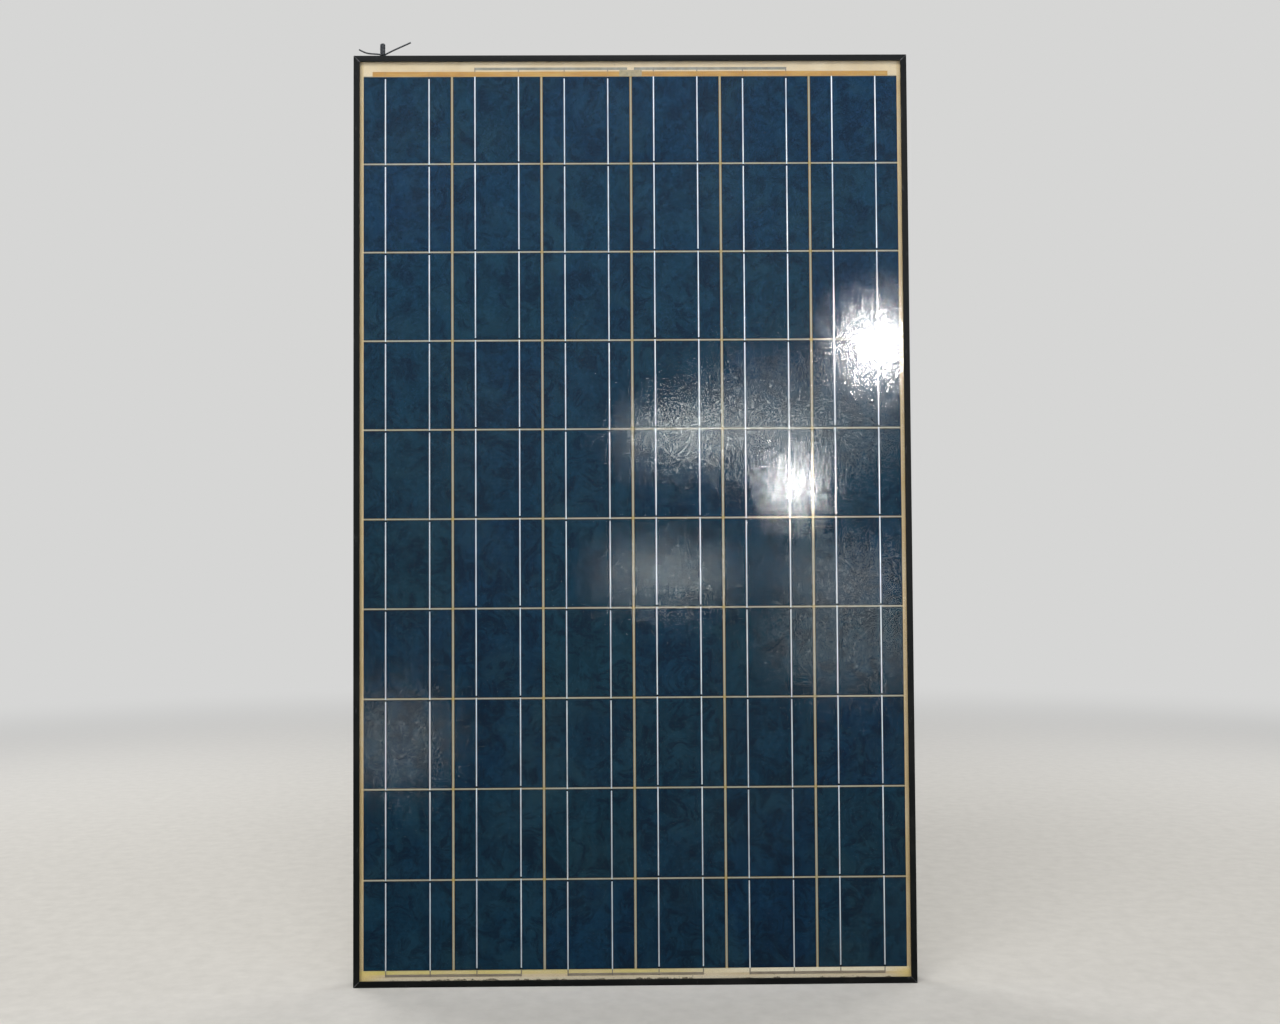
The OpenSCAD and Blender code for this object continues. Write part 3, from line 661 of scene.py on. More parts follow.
# %% Bus ribbons
BUS_NODES = ("top_bus_link_left", "top_bus_link_right", "bottom_bus_link_left",
             "bottom_bus_link_middle", "bottom_bus_link_right", "top_bus_lead_left",
             "top_bus_lead_right")
for node in BUS_NODES:
    dress(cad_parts[node], low_bus_painted_lighter if "bottom" in node else top_bus_finish)
    soften(node, 0.06 * MM)

# %% Insulating strip
def amber():
    f = Finish("amber_strip")
    streaks = f.noise(20, 4, 0.6, stretch=(1, 1, 6))
    colour = f.ramp(streaks, (0.3, shade(174, 131, 66)), (0.5, shade(188, 147, 78)),
                    (0.72, shade(196, 164, 98)))
    from_gap = f.math("PINGPONG", f.axis("X"), COLUMN_STEP / 2)
    ribs = f.near(from_gap, COLUMN_STEP / 2 - RIBBON_OFFSET, MM, 1.2 * MM)
    faint = f.mix(f.math("MULTIPLY", ribs, 0.28), colour, shade(150, 126, 82))
    return f.done(f.skin(Base_Color=faint, Roughness=0.42, Specular_IOR_Level=0.3))


def strip_mesh(node, columns, rows, lift):
    """A thin sheet as large as a packed one, with lift(x, z) pushing its front face."""
    lo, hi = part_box(node)
    bm = bmesh.new()
    grid = []
    for i in range(columns + 1):
        x = lo.x + (hi.x - lo.x) * i / columns
        line = []
        for k in range(rows + 1):
            z = lo.z + (hi.z - lo.z) * k / rows
            line.append((bm.verts.new((x, lo.y + lift(x, z), z)), bm.verts.new((x, hi.y, z))))
        grid.append(line)
    for i in range(columns):
        for k in range(rows):
            for layer in (0, 1):
                bm.faces.new((grid[i][k][layer], grid[i + 1][k][layer],
                              grid[i + 1][k + 1][layer], grid[i][k + 1][layer]))
    rim = [(grid[i][0], grid[i + 1][0]) for i in range(columns)]
    rim += [(grid[columns][k], grid[columns][k + 1]) for k in range(rows)]
    rim += [(grid[i + 1][rows], grid[i][rows]) for i in reversed(range(columns))]
    rim += [(grid[0][k + 1], grid[0][k]) for k in reversed(range(rows))]
    for a, b in rim:
        bm.faces.new((a[0], b[0], b[1], a[1]))
    return mesh_from(bm, node)


def over_ribbons(x, z):
    """The strip stands forward over a ribbon, and lies a hair lower elsewhere."""
    away = abs((abs(x) % COLUMN_STEP) - COLUMN_STEP / 2)
    return 0.04 * MM * (1 - math.exp(-((away - RIBBON_OFFSET) / (1.5 * MM)) ** 2))


STRIP_GRID = (924, 4)
add_piece("amber_insulating_strip", strip_mesh("insulating_strip", *STRIP_GRID, over_ribbons), amber(),
          stands_for=("insulating_strip",), smooth_angle=60)
print("insulating strip laid")

# %% Labels and the lead insulator
def paper(name, base, stain):
    f = Finish(name)
    blots = f.noise(140, 4, 0.65)
    colour = f.mix(f.ramp(blots, (0.45, 0.0), (0.75, 0.6)), base, stain)
    fibres = f.bump(f.noise(900, 2), 0.02 * MM, 0.4)
    return f.done(f.skin(Base_Color=colour, Roughness=0.55, Normal=fibres))


label_finish = paper("aged_label", shade(164, 154, 124), shade(100, 94, 78))
for node in ("serial_label", "lead_insulator"):
    dress(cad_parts[node], label_finish)
print("labels dressed")

# %% [markdown]
# ## The glass
# Solar glass is rolled with a fine pattern so that it does not mirror like a window. A lamp in it
# becomes a wide, grainy glow instead of a point. The pane lets light straight through to the
# cells, and adds a rough mirror over them, as much as glass of that slope does. Its dimples are
# under three millimetres wide, so they are drawn in the finish and not in the mesh: each patch
# leans the mirror a little in a direction of its own, and some patches are brighter than others.
# Dust gathers on the pane above the lower lip.

# %% Glass finish
GLASS_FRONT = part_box("front_glass")[0].y
FACET_TILT = 0.0078
FACET_SCALE = 380.0
GLASS_ROUGH = 0.121
HEAP_X = -0.252


def solar_glass():
    f = Finish("rolled_solar_glass")
    facets = f.add("ShaderNodeTexVoronoi", {"Vector": f.place, "Scale": FACET_SCALE}, out="Color")
    chance = f.add("ShaderNodeSeparateColor", {"Color": facets}, out=None)
    rare = f.math("LOGARITHM", f.math("MAXIMUM", chance.outputs[0], 0.002), math.e)
    steep = f.math("MULTIPLY", f.math("SQRT", f.math("MULTIPLY", rare, -2.0)), FACET_TILT)
    turn = f.math("MULTIPLY", chance.outputs[1], 2 * math.pi)
    lean = f.add("ShaderNodeCombineXYZ", {"X": f.math("MULTIPLY", f.math("COSINE", turn), steep),
                                          "Z": f.math("MULTIPLY", f.math("SINE", turn), steep)})
    flat = f.add("ShaderNodeNewGeometry", out="Normal")
    leaned = f.add("ShaderNodeVectorMath", {0: flat, 1: lean}, operation="ADD")
    facet = f.add("ShaderNodeVectorMath", {0: leaned}, operation="NORMALIZE")
    mirror_inputs = {"Color": rgba(1.0), "Roughness": GLASS_ROUGH, "Normal": facet}
    mirror = f.add("ShaderNodeBsdfAnisotropic", mirror_inputs, distribution="BECKMANN")
    clear = f.add("ShaderNodeBsdfTransparent", {"Color": (0.99, 0.992, 0.99, 1)})
    bright = f.math("MULTIPLY_ADD", f.math("POWER", chance.outputs[2], 4.0), 1.6, 0.66)
    slope = f.math("MULTIPLY", f.add("ShaderNodeFresnel", {"IOR": 1.45}), bright)
    front = f.math("SUBTRACT", 1.0, f.add("ShaderNodeNewGeometry", out="Backfacing"))
    pane = f.add("ShaderNodeMixShader", {0: f.math("MULTIPLY", slope, front), 1: clear, 2: mirror})
    dust = f.add("ShaderNodeBsdfDiffuse", {"Color": rgba(shade(150, 143, 130))})
    haze = f.ramp(f.noise(2.2, 5, 0.62), (0.45, 0.0), (0.8, 0.02))
    specks = f.ramp(f.noise(260, 3, 0.6), (0.72, 0.0), (0.76, 0.3))
    film = f.math("MULTIPLY", f.math("MAXIMUM", haze, specks), front)
    dusty = f.add("ShaderNodeMixShader", {0: film, 1: pane, 2: dust})
    grime = f.add("ShaderNodeBsdfDiffuse", {"Color": rgba(shade(62, 56, 46))})
    over_lip = f.math("SUBTRACT", f.axis("Z"), LIP_W)
    ragged = f.math("MULTIPLY", f.ramp(f.noise(34, 5, 0.75), (0.52, 0.0), (0.74, 1.0)), 5 * MM)
    heap = f.near(f.axis("X"), HEAP_X, 4 * MM, 9 * MM)
    height = f.math("MULTIPLY_ADD", heap, 3 * MM, ragged)
    pile = f.math("MULTIPLY", f.math("LESS_THAN", over_lip, height), 0.6)
    crumbs = f.math("MULTIPLY", f.near(f.axis("Z"), LIP_W, 4 * MM, 6 * MM),
                    f.math("GREATER_THAN", f.noise(360, 2, 0.5), 0.73))
    dirty = f.math("MULTIPLY", f.math("MAXIMUM", pile, crumbs), front)
    return f.done(f.add("ShaderNodeMixShader", {0: dirty, 1: dusty, 2: grime}))


dress(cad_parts["front_glass"], solar_glass())
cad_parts["front_glass"].visible_shadow = False

# %% Front film finish
def clear_film():
    f = Finish("yellowed_front_film")
    tint = f.ramp(f.noise(4, 3, 0.6), (0.3, (0.998, 0.995, 0.985)), (0.7, (0.995, 0.985, 0.955)))
    return f.done(f.add("ShaderNodeBsdfTransparent", {"Color": tint}))


front_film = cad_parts["front_encapsulant"]
dress(front_film, clear_film())
front_film.visible_shadow = False
shrink = front_film.modifiers.new("clear_of_cells", "DISPLACE")
shrink.strength = -0.03 * MM
shrink.mid_level = 0.0
print("glass and films dressed")

# %% [markdown]
# ## Rubber, sealant and small metal parts
# The parts at the back and inside the junction box get plain shop finishes with a little life in
# them: a fine grain on moulded plastic, a soft sheen on rubber, brushed lines on the bars.

# %% Shop finishes
def moulded(name, colour, grain=900, rough=0.5):
    f = Finish(name)
    cloud = f.noise(18, 4, 0.6)
    faded = tuple(min(1.0, c * 1.8 + 0.02) for c in colour)
    tone = f.mix(f.ramp(cloud, (0.4, 0.0), (0.8, 0.35)), colour, faded)
    pebbled = f.bump(f.noise(grain, 2, 0.6), 0.05 * MM, 0.5)
    return f.done(f.skin(Base_Color=tone, Roughness=rough, Normal=pebbled))


def brushed(name, colour, stretch, rough):
    f = Finish(name)
    lines = f.noise(1.0, 3, 0.6, stretch=stretch)
    tone = f.mix(f.ramp(lines, (0.3, 0.0), (0.7, 0.4)), colour, tuple(c * 0.6 for c in colour))
    drawn = f.bump(lines, 0.02 * MM, 0.5)
    return f.done(f.skin(Base_Color=tone, Metallic=1.0, Roughness=rough, Normal=drawn))


box_plastic = moulded("black_moulded_plastic", shade(34, 35, 37))
lid_plastic = moulded("black_lid_plastic", shade(38, 39, 41))
nut_plastic = moulded("black_nut_plastic", shade(32, 33, 35), rough=0.42)
soft_rubber = moulded("grey_rubber", shade(74, 75, 79), grain=500, rough=0.7)
black_sealant = moulded("black_sealant", shade(26, 26, 27), grain=300, rough=0.55)
white_silicone = moulded("white_silicone", shade(212, 211, 204), grain=250, rough=0.5)
pin_steel = brushed("bright_steel", shade(158, 160, 163), (30, 2000, 2000), 0.4)
bar_metal = brushed("tinned_brass", shade(158, 142, 108), (2200, 2200, 30), 0.46)
key_metal = brushed("mill_aluminium", shade(176, 178, 180), (900, 900, 40), 0.4)
PLAIN_FINISHES = {
    "corner_keys": key_metal, "edge_seal": black_sealant, "junction_box_base": box_plastic,
    "junction_box_adhesive": white_silicone, "junction_box_gasket": soft_rubber,
    "junction_box_hinge_pin": pin_steel, "terminal_bars": bar_metal, "ribbon_clips": pin_steel,
    "gland_seal_left": soft_rubber, "gland_seal_right": soft_rubber,
}
for node, finish in PLAIN_FINISHES.items():
    dress(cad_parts[node], finish)
SOFT_EDGES = {
    "junction_box_base": 0.5, "junction_box_gasket": 0.25, "junction_box_hinge_pin": 0.3,
    "terminal_bars": 0.12, "ribbon_clips": 0.1, "gland_seal_left": 0.3, "gland_seal_right": 0.3,
}
for node, width in SOFT_EDGES.items():
    soften(node, width * MM)
print(len(PLAIN_FINISHES), "small parts dressed")

# %% [markdown]
# ## The backsheet from behind
# The sheet is vacuum-pressed on to the cells, so from behind it shows each wafer as a faint raised
# square and each ribbon as a line. The grid of the mesh follows those edges, so the relief is real
# and light can rake across it. The channels between the wafers are painted darker: painted
# shade that makes the relief show, with some settled dust.

# %% Backsheet relief
def backsheet_finish():
    f = Finish("white_backsheet")
    colour = f.ramp(f.noise(5, 5, 0.6), (0.3, shade(214, 208, 192)), (0.7, shade(232, 228, 216)))
    smudge = f.ramp(f.noise(26, 4, 0.65), (0.6, 0.0), (0.85, 0.35))
    smudged = f.mix(smudge, colour, shade(168, 156, 132))
    column = f.math("PINGPONG", f.axis("X"), COLUMN_STEP / 2)
    row = f.math("PINGPONG", f.math("SUBTRACT", f.axis("Z"), FIELD_LO.z - ROW_GAP / 2), ROW_STEP / 2)
    # Painted shade with some dust: the channels between the wafers are darkened so that the relief shows.
    channel = f.math("MAXIMUM", f.near(column, 0.0, 0.8 * MM, 2.2 * MM),
                     f.near(row, 0.0, 0.6 * MM, 2.2 * MM))
    channel_dust_and_shade = f.math("MULTIPLY", channel, f.ramp(f.noise(14, 4, 0.65), (0.3, 0.12), (0.7, 0.34)))
    dirty = f.mix(channel_dust_and_shade, smudged, shade(150, 138, 112))
    pressed = f.bump(f.noise(320, 3, 0.6), 0.05 * MM, 0.4)
    return f.done(f.skin(Base_Color=dirty, Roughness=0.48, Normal=pressed))


def stops(edges, soft):
    """Grid places just before and after each edge of the relief."""
    places = set()
    for edge in edges:
        places.update((round(edge - soft, 6), round(edge + soft, 6)))
    return places


sheet_lo, sheet_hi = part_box("backsheet")
window_lo, window_hi = Vector((-0.033, 0, 1.577)), Vector((0.033, 0, 1.591))
GAP_RELIEF, CELL_RELIEF, SOFT = 0.16 * MM, 0.12 * MM, 0.8 * MM
CREASES = (-2 * MM, -0.9 * MM, 0.9 * MM, 2 * MM)
cell_x = [FIELD_LO.x + n * COLUMN_STEP + side for n in range(COLUMNS) for side in (0.0, CELL)]
cell_z = [FIELD_LO.z + n * ROW_STEP + side for n in range(ROWS) for side in (0.0, CELL)]
ribbon_x = [FIELD_LO.x + n * COLUMN_STEP + CELL / 2 + side * RIBBON_OFFSET
            for n in range(COLUMNS) for side in (-1, 1)]
creased_x = {round(x + crease, 6) for x in ribbon_x for crease in CREASES}
grid_x = sorted(stops(cell_x, SOFT) | creased_x | {sheet_lo.x, sheet_hi.x, window_lo.x, window_hi.x})
grid_z = sorted(stops(cell_z, SOFT) | {sheet_lo.z, sheet_hi.z, window_lo.z, window_hi.z})


def inside_steps(value, first, step, size):
    return 0.0 < (value - first) % step < size


def relief(x, z):
    """How far the sheet sinks below its outermost face: least at a ribbon, most in a gap."""
    if not FIELD_LO.z < z < FIELD_HI.z:
        return GAP_RELIEF
    if min(abs(x - at) for at in ribbon_x) < RIBBON_W * 0.6:
        return 0.0
    on_cell = (FIELD_LO.x < x < FIELD_HI.x and inside_steps(x, FIELD_LO.x, COLUMN_STEP, CELL)
               and inside_steps(z, FIELD_LO.z, ROW_STEP, CELL))
    return CELL_RELIEF if on_cell else GAP_RELIEF


def in_window(x0, x1, z0, z1):
    middle_x, middle_z = (x0 + x1) / 2, (z0 + z1) / 2
    return window_lo.x < middle_x < window_hi.x and window_lo.z < middle_z < window_hi.z


bm = bmesh.new()
front = [[bm.verts.new((x, sheet_lo.y, z)) for z in grid_z] for x in grid_x]
back = [[bm.verts.new((x, sheet_hi.y - relief(x, z), z)) for z in grid_z] for x in grid_x]
behind = {front[i][k]: back[i][k] for i in range(len(grid_x)) for k in range(len(grid_z))}
fronts = set(behind)
for i in range(len(grid_x) - 1):
    for k in range(len(grid_z) - 1):
        if in_window(grid_x[i], grid_x[i + 1], grid_z[k], grid_z[k + 1]):
            continue
        for side in (front, back):
            bm.faces.new((side[i][k], side[i + 1][k], side[i + 1][k + 1], side[i][k + 1]))
for edge in [e for e in bm.edges if len(e.link_faces) == 1 and all(v in fronts for v in e.verts)]:
    a, b = edge.verts
    bm.faces.new((a, b, behind[b], behind[a]))
add_piece("backsheet_with_relief", mesh_from(bm, "backsheet"), backsheet_finish(),
          stands_for=("backsheet",), smooth_angle=60)
print("backsheet relief has", len(grid_x) * len(grid_z), "points")

# %% [markdown]
# ## The rating label
# A silvery plastic film with a ruled, empty table on it. Nothing is printed in the boxes.

# %% Rating label
LABEL_EDGE, LABEL_LINE, LABEL_ROW = 3 * MM, 0.4 * MM, 8 * MM


def ruled_label():
    f = Finish("ruled_blank_label")
    lo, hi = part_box("rating_label")
    film = f.ramp(f.noise(30, 4, 0.6), (0.3, shade(196, 197, 196)), (0.7, shade(212, 212, 208)))
    middle_x, middle_z = (lo.x + hi.x) / 2, (lo.z + hi.z) / 2
    half_x, half_z = (hi.x - lo.x) / 2 - LABEL_EDGE, (hi.z - lo.z) / 2 - LABEL_EDGE
    inside = f.math("MULTIPLY", f.near(f.axis("X"), middle_x, half_x, 0.1 * MM),
                    f.near(f.axis("Z"), middle_z, half_z, 0.1 * MM))
    core = f.math("MULTIPLY", f.near(f.axis("X"), middle_x, half_x - LABEL_LINE, 0.1 * MM),
                  f.near(f.axis("Z"), middle_z, half_z - LABEL_LINE, 0.1 * MM))
    border = f.math("SUBTRACT", inside, core)
    down = f.math("SUBTRACT", middle_z + half_z, f.axis("Z"))
    rule = f.math("LESS_THAN", f.math("MODULO", down, LABEL_ROW), LABEL_LINE)
    column = f.near(f.axis("X"), middle_x + half_x * 0.2, LABEL_LINE / 2, 0.05 * MM)
    lines = f.math("MAXIMUM", border, f.math("MULTIPLY", core, f.math("MAXIMUM", rule, column)))
    colour = f.mix(f.math("MULTIPLY", lines, 0.8), film, shade(58, 60, 64))
    smudge = f.ramp(f.noise(45, 4, 0.7), (0.55, 0.0), (0.85, 0.3))
    worn = f.mix(smudge, colour, shade(150, 142, 126))
    return f.done(f.skin(Base_Color=worn, Roughness=0.38, Normal=f.bump(f.noise(400, 2), 0.02 * MM, 0.3)))


dress(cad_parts["rating_label"], ruled_label())
print("rating label ruled")

# %% [markdown]
# ## The junction box lid
# The lid is moulded, so it is skinned ring by ring. Each ring is a rounded rectangle at some depth,
# and the steps from ring to ring make the rounded outer edge and the shallow recess in its face. A
# thin wall inside keeps it centred, a knuckle along the top turns on the pin, and two tongues snap
# over the lower edge.

# %% Lid
LID_LO, LID_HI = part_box("junction_box_lid")
GASKET_LO, GASKET_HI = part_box("junction_box_gasket")
PIN_LO, PIN_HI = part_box("junction_box_hinge_pin")
PIN_Y, PIN_Z = (PIN_LO.y + PIN_HI.y) / 2, (PIN_LO.z + PIN_HI.z) / 2
LID_IN = GASKET_HI.y
LID_MID = (GASKET_LO.z + GASKET_HI.z) / 2
LID_W = LID_HI.x - LID_LO.x
LID_H = GASKET_HI.z - GASKET_LO.z + 3 * MM
LID_T = LID_HI.y - LID_IN


def round_box(width, height, radius, y, steps=7):
    """A ring of points round a rounded rectangle that stands at depth y about the lid's middle."""
    ring = []
    for corner in range(4):
        sign_x, sign_z = ((1, 1), (-1, 1), (-1, -1), (1, -1))[corner]
        for step in range(steps + 1):
            turn = math.pi / 2 * (corner + step / steps)
            ring.append((sign_x * (width / 2 - radius) + radius * math.cos(turn), y,
                         LID_MID + sign_z * (height / 2 - radius) + radius * math.sin(turn)))
    return ring


def plate_rings(width, height, radius, profile):
    """Rings of a moulded plate, from (inset, depth) pairs."""
    return [round_box(width - 2 * inset, height - 2 * inset, max(radius - inset, 0.4 * MM), y)
            for inset, y in profile]


def circle(radius, x, axis_y, axis_z, segments):
    """A ring of points round an axis that runs along X."""
    turns = [2 * math.pi * i / segments for i in range(segments)]
    return [(x, axis_y + radius * math.cos(turn), axis_z + radius * math.sin(turn)) for turn in turns]


def swept(bm, profile, x0, x1, radius):
    """An outline of (depth, height) points drawn out along X, with its corners and ends eased."""
    shape = rounded(profile, radius)
    centre = sum(shape, Vector((0, 0))) / len(shape)
    ease = 0.2 * MM
    rings = []
    for x, shrink in ((x0, ease), (x0 + ease, 0.0), (x1 - ease, 0.0), (x1, ease)):
        ring = []
        for point in shape:
            inward = centre - point
            ring.append((x, *(point + inward.normalized() * shrink)))
        rings.append(ring)
    loft(bm, rings)


bm = bmesh.new()
loft(bm, plate_rings(LID_W, LID_H, 7 * MM, [
    (0.3 * MM, LID_IN), (0.0, LID_IN + 0.3 * MM), (0.0, LID_IN + 0.7 * LID_T),
    (0.12 * MM, LID_IN + 0.82 * LID_T), (0.4 * MM, LID_IN + 0.93 * LID_T), (0.9 * MM, LID_HI.y),
    (7.0 * MM, LID_HI.y), (7.3 * MM, LID_HI.y - 0.1 * MM), (7.7 * MM, LID_HI.y - 0.6 * MM),
    (8.0 * MM, LID_HI.y - 0.7 * MM),
]))
RIM_W, RIM_H, RIM_DEEP, RIM_T = LID_W - 8.2 * MM, LID_H - 8.2 * MM, 3 * MM, 1.5 * MM
loft(bm, plate_rings(RIM_W, RIM_H, 3.4 * MM, [
    (0.0, LID_IN + 0.1 * MM), (0.0, LID_IN - RIM_DEEP + 0.4 * MM), (0.3 * MM, LID_IN - RIM_DEEP),
    (RIM_T - 0.3 * MM, LID_IN - RIM_DEEP), (RIM_T, LID_IN - RIM_DEEP + 0.4 * MM),
    (RIM_T, LID_IN + 0.1 * MM),
]), closed=True)
KNUCKLE_R, KNUCKLE_BORE, KNUCKLE_HALF = 3.2 * MM, 1.3 * MM, 29.6 * MM
EASED = 0.25 * MM
knuckle = [
    (KNUCKLE_R - EASED, -KNUCKLE_HALF), (KNUCKLE_R, -KNUCKLE_HALF + EASED),
    (KNUCKLE_R, KNUCKLE_HALF - EASED), (KNUCKLE_R - EASED, KNUCKLE_HALF),
    (KNUCKLE_BORE, KNUCKLE_HALF), (KNUCKLE_BORE, -KNUCKLE_HALF),
]
loft(bm, [circle(radius, x, PIN_Y, PIN_Z, 40) for radius, x in knuckle], closed=True)
web_low = LID_MID + LID_H / 2 - 3 * MM
swept(bm, [(LID_IN + 0.05 * MM, web_low), (PIN_Y + KNUCKLE_R, web_low),
           (PIN_Y + KNUCKLE_R, PIN_Z - 0.2 * MM), (LID_IN + 1.3 * MM, PIN_Z + 0.6 * MM),
           (LID_IN + 0.9 * MM, PIN_Z - 2.6 * MM)],
      -KNUCKLE_HALF, KNUCKLE_HALF, 0.5 * MM)
TONGUE_X, TONGUE_HALF = 14 * MM, 6 * MM
tongue_top = LID_MID - LID_H / 2 + 0.2 * MM
for x in (-TONGUE_X, TONGUE_X):
    swept(bm, [(LID_HI.y - 0.6 * MM, tongue_top), (LID_HI.y - 0.6 * MM, tongue_top - 1.9 * MM),
               (LID_IN - 7 * MM, tongue_top - 1.9 * MM), (LID_IN - 7 * MM, LID_LO.z),
               (LID_IN - 9 * MM, LID_LO.z), (LID_IN - 9 * MM, tongue_top)],
          x - TONGUE_HALF, x + TONGUE_HALF, 0.5 * MM)
add_piece("moulded_lid", mesh_from(bm, "lid"), lid_plastic, body="box_lid",
          stands_for=("junction_box_lid",))
print("lid is", round(LID_W / MM), "by", round(LID_H / MM), "mm")

# %% [markdown]
# ## The gland nuts
# Each nut is turned round its own axis: the radius depends on the angle, which gives the six flats,
# and on the height, which gives the chamfers and the round nose.

# %% Gland nuts
NUT_FLAT, NUT_CORNER = 8.5 * MM, 9.7 * MM
NUT_NOSE, NUT_WIDE, NUT_BORE, NUT_MOUTH = 7.9, 9.8, 6.88, 4.4
NUT_H, NOSE_H, MOUTH_H = 17.0, 5.2, 3.0
NUT_SEGMENTS = 96


def flats(turn):
    """How far the six flats are from the axis in that direction, with eased corners."""
    return min(NUT_FLAT / math.cos(turn % (math.pi / 3) - math.pi / 6), NUT_CORNER)


def nut_mesh(node):
    """Rings from the nose up the outside and down the bore, as (height, radius, six-sided)."""
    lo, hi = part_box(node)
    axis_x, axis_y = (lo.x + hi.x) / 2, (lo.y + hi.y) / 2
    profile = [
        (0.0, NUT_NOSE - 0.9, False), (0.2, NUT_NOSE - 0.45, False), (0.7, NUT_NOSE - 0.1, False),
        (1.3, NUT_NOSE, False), (NOSE_H, NUT_NOSE, False), (NOSE_H + 0.3, NUT_NOSE + 0.4, False),
        (NOSE_H + 0.35, NUT_WIDE - 1.1, True), (NOSE_H + 1.0, NUT_WIDE, True),
        (NUT_H - 0.8, NUT_WIDE, True), (NUT_H, NUT_WIDE - 1.1, True), (NUT_H, NUT_BORE + 0.32, False),
        (NUT_H - 0.3, NUT_BORE, False), (MOUTH_H, NUT_BORE, False), (MOUTH_H, NUT_MOUTH, False),
        (0.3, NUT_MOUTH, False), (0.0, NUT_MOUTH + 0.3, False),
    ]
    rings = []
    for up, reach, six_sided in profile:
        ring = []
        for i in range(NUT_SEGMENTS):
            turn = 2 * math.pi * i / NUT_SEGMENTS
            radius = min(reach * MM, flats(turn)) if six_sided else reach * MM
            ring.append((axis_x + radius * math.cos(turn), axis_y + radius * math.sin(turn),
                         lo.z + up * MM))
        rings.append(ring)
    bm = bmesh.new()
    loft(bm, rings, closed=True)
    return mesh_from(bm, node)


for side in ("left", "right"):
    add_piece(f"{side}_gland_nut_turned", nut_mesh(f"gland_nut_{side}"), nut_plastic,
              body=f"{side}_gland_nut", stands_for=(f"gland_nut_{side}",))
print("two gland nuts")

# %% [markdown]
# ## The bypass diodes
# Each diode has a round body with a pale band at one end, and two stiff leads that bend down on to
# the bars.

# %% Diodes
DIODE_STEP = 16 * MM
DIODE_HALF, DIODE_R = 4 * MM, 2.7 * MM
LEAD_R, LEAD_BEND = 0.6 * MM, 1.2 * MM
LEAD_SIDES = 14


def diode_body_finish():
    f = Finish("banded_diode")
    along = f.math("PINGPONG", f.math("ADD", f.axis("X"), DIODE_STEP / 2), DIODE_STEP)
    band = f.near(along, DIODE_STEP / 2 + 2.6 * MM, 0.45 * MM, 0.1 * MM)
    grain = f.ramp(f.noise(300, 3), (0.3, shade(30, 30, 32)), (0.7, shade(42, 42, 45)))
    colour = f.mix(band, grain, shade(190, 192, 194))
    return f.done(f.skin(Base_Color=colour, Roughness=0.34, Normal=f.bump(f.noise(900, 2), 0.02 * MM, 0.4)))


def lead(bm, path):
    """A round wire along a path that keeps to one height."""
    rings = []
    turns = [2 * math.pi * k / LEAD_SIDES for k in range(LEAD_SIDES)]
    for i, point in enumerate(path):
        ahead = path[min(i + 1, len(path) - 1)] - path[max(i - 1, 0)]
        across = Vector((ahead.y, -ahead.x, 0)).normalized()
        rings.append([point + LEAD_R * (math.cos(turn) * across + math.sin(turn) * Vector((0, 0, 1)))
                      for turn in turns])
    loft(bm, rings)


diode_finish = diode_body_finish()
diode_end = [
    (DIODE_HALF, LEAD_R + 0.02 * MM), (DIODE_HALF, DIODE_R - 0.5 * MM),
    (DIODE_HALF - 0.15 * MM, DIODE_R - 0.2 * MM), (DIODE_HALF - 0.5 * MM, DIODE_R),
]
diode_profile = [(-x, radius) for x, radius in diode_end] + diode_end[::-1]


for n in (1, 2, 3):
    lo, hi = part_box(f"bypass_diode_{n}")
    middle = (lo + hi) / 2
    body_y = hi.y - (hi.z - lo.z) / 2
    half = (hi.x - lo.x) / 2 - LEAD_R
    bm = bmesh.new()
    loft(bm, [circle(radius, middle.x + x, body_y, middle.z, 36) for x, radius in diode_profile])
    body_faces = len(bm.faces)
    for side in (-1, 1):
        path = [Vector((middle.x + side * (DIODE_HALF - 0.1 * MM), body_y, middle.z)),
                Vector((middle.x + side * (half - LEAD_BEND), body_y, middle.z))]
        for step in range(1, 6):
            turn = math.pi / 2 * step / 5
            path.append(Vector((middle.x + side * (half - LEAD_BEND + LEAD_BEND * math.sin(turn)),
                                body_y - LEAD_BEND * (1 - math.cos(turn)), middle.z)))
        path.append(Vector((middle.x + side * half, lo.y + 0.05 * MM, middle.z)))
        lead(bm, path)
    bm.faces.ensure_lookup_table()
    for face in bm.faces[body_faces:]:
        face.material_index = 1
    piece = add_piece(f"diode_{n}", mesh_from(bm, "diode"), diode_finish,
                      stands_for=(f"bypass_diode_{n}",))
    piece.data.materials.append(pin_steel)
print("three diodes")

# %% [markdown]
# ## The twisted tie
# A length of grey coated wire goes through the two drain holes at the top left. Its two strands
# are twisted together into an eye that stands up from the frame, and the two ends spring out to
# the sides. A curve with a round bevel follows that route, and the twist is a pair of helices.

# %% Tie
WIRE_D = 2.8 * MM
TIE_AT = Vector((-PANEL_W / 2 + DRAIN_INSET, FRONT_Y + 5 * MM, PANEL_H))
EYE_H, EYE_HALF, EYE_TURNS = 18.0, 3.5, 3.5


def eye_strand(side, steps=56):
    """One of the eye's two strands, from the frame up to the crest, in millimetres."""
    points = []
    for step in range(steps + 1):
        t = step / steps
        turn = 2 * math.pi * EYE_TURNS * t
        wide = EYE_HALF * min(1.0, 0.55 + 2.5 * t)
        points.append((side * wide * math.cos(turn) * MM, side * 1.9 * math.sin(turn) * MM,
                       (2.4 + EYE_H * t) * MM))
    return points


def millimetres(*points):
    return [tuple(value * MM for value in point) for point in points]


def wire_finish():
    f = Finish("grey_coated_wire")
    colour = f.ramp(f.noise(300, 4, 0.6), (0.3, shade(40, 41, 43)), (0.75, shade(66, 68, 70)))
    coating = f.bump(f.noise(1200, 2), 0.03 * MM, 0.4)
    return f.done(f.skin(Base_Color=colour, Roughness=0.42, Normal=coating))


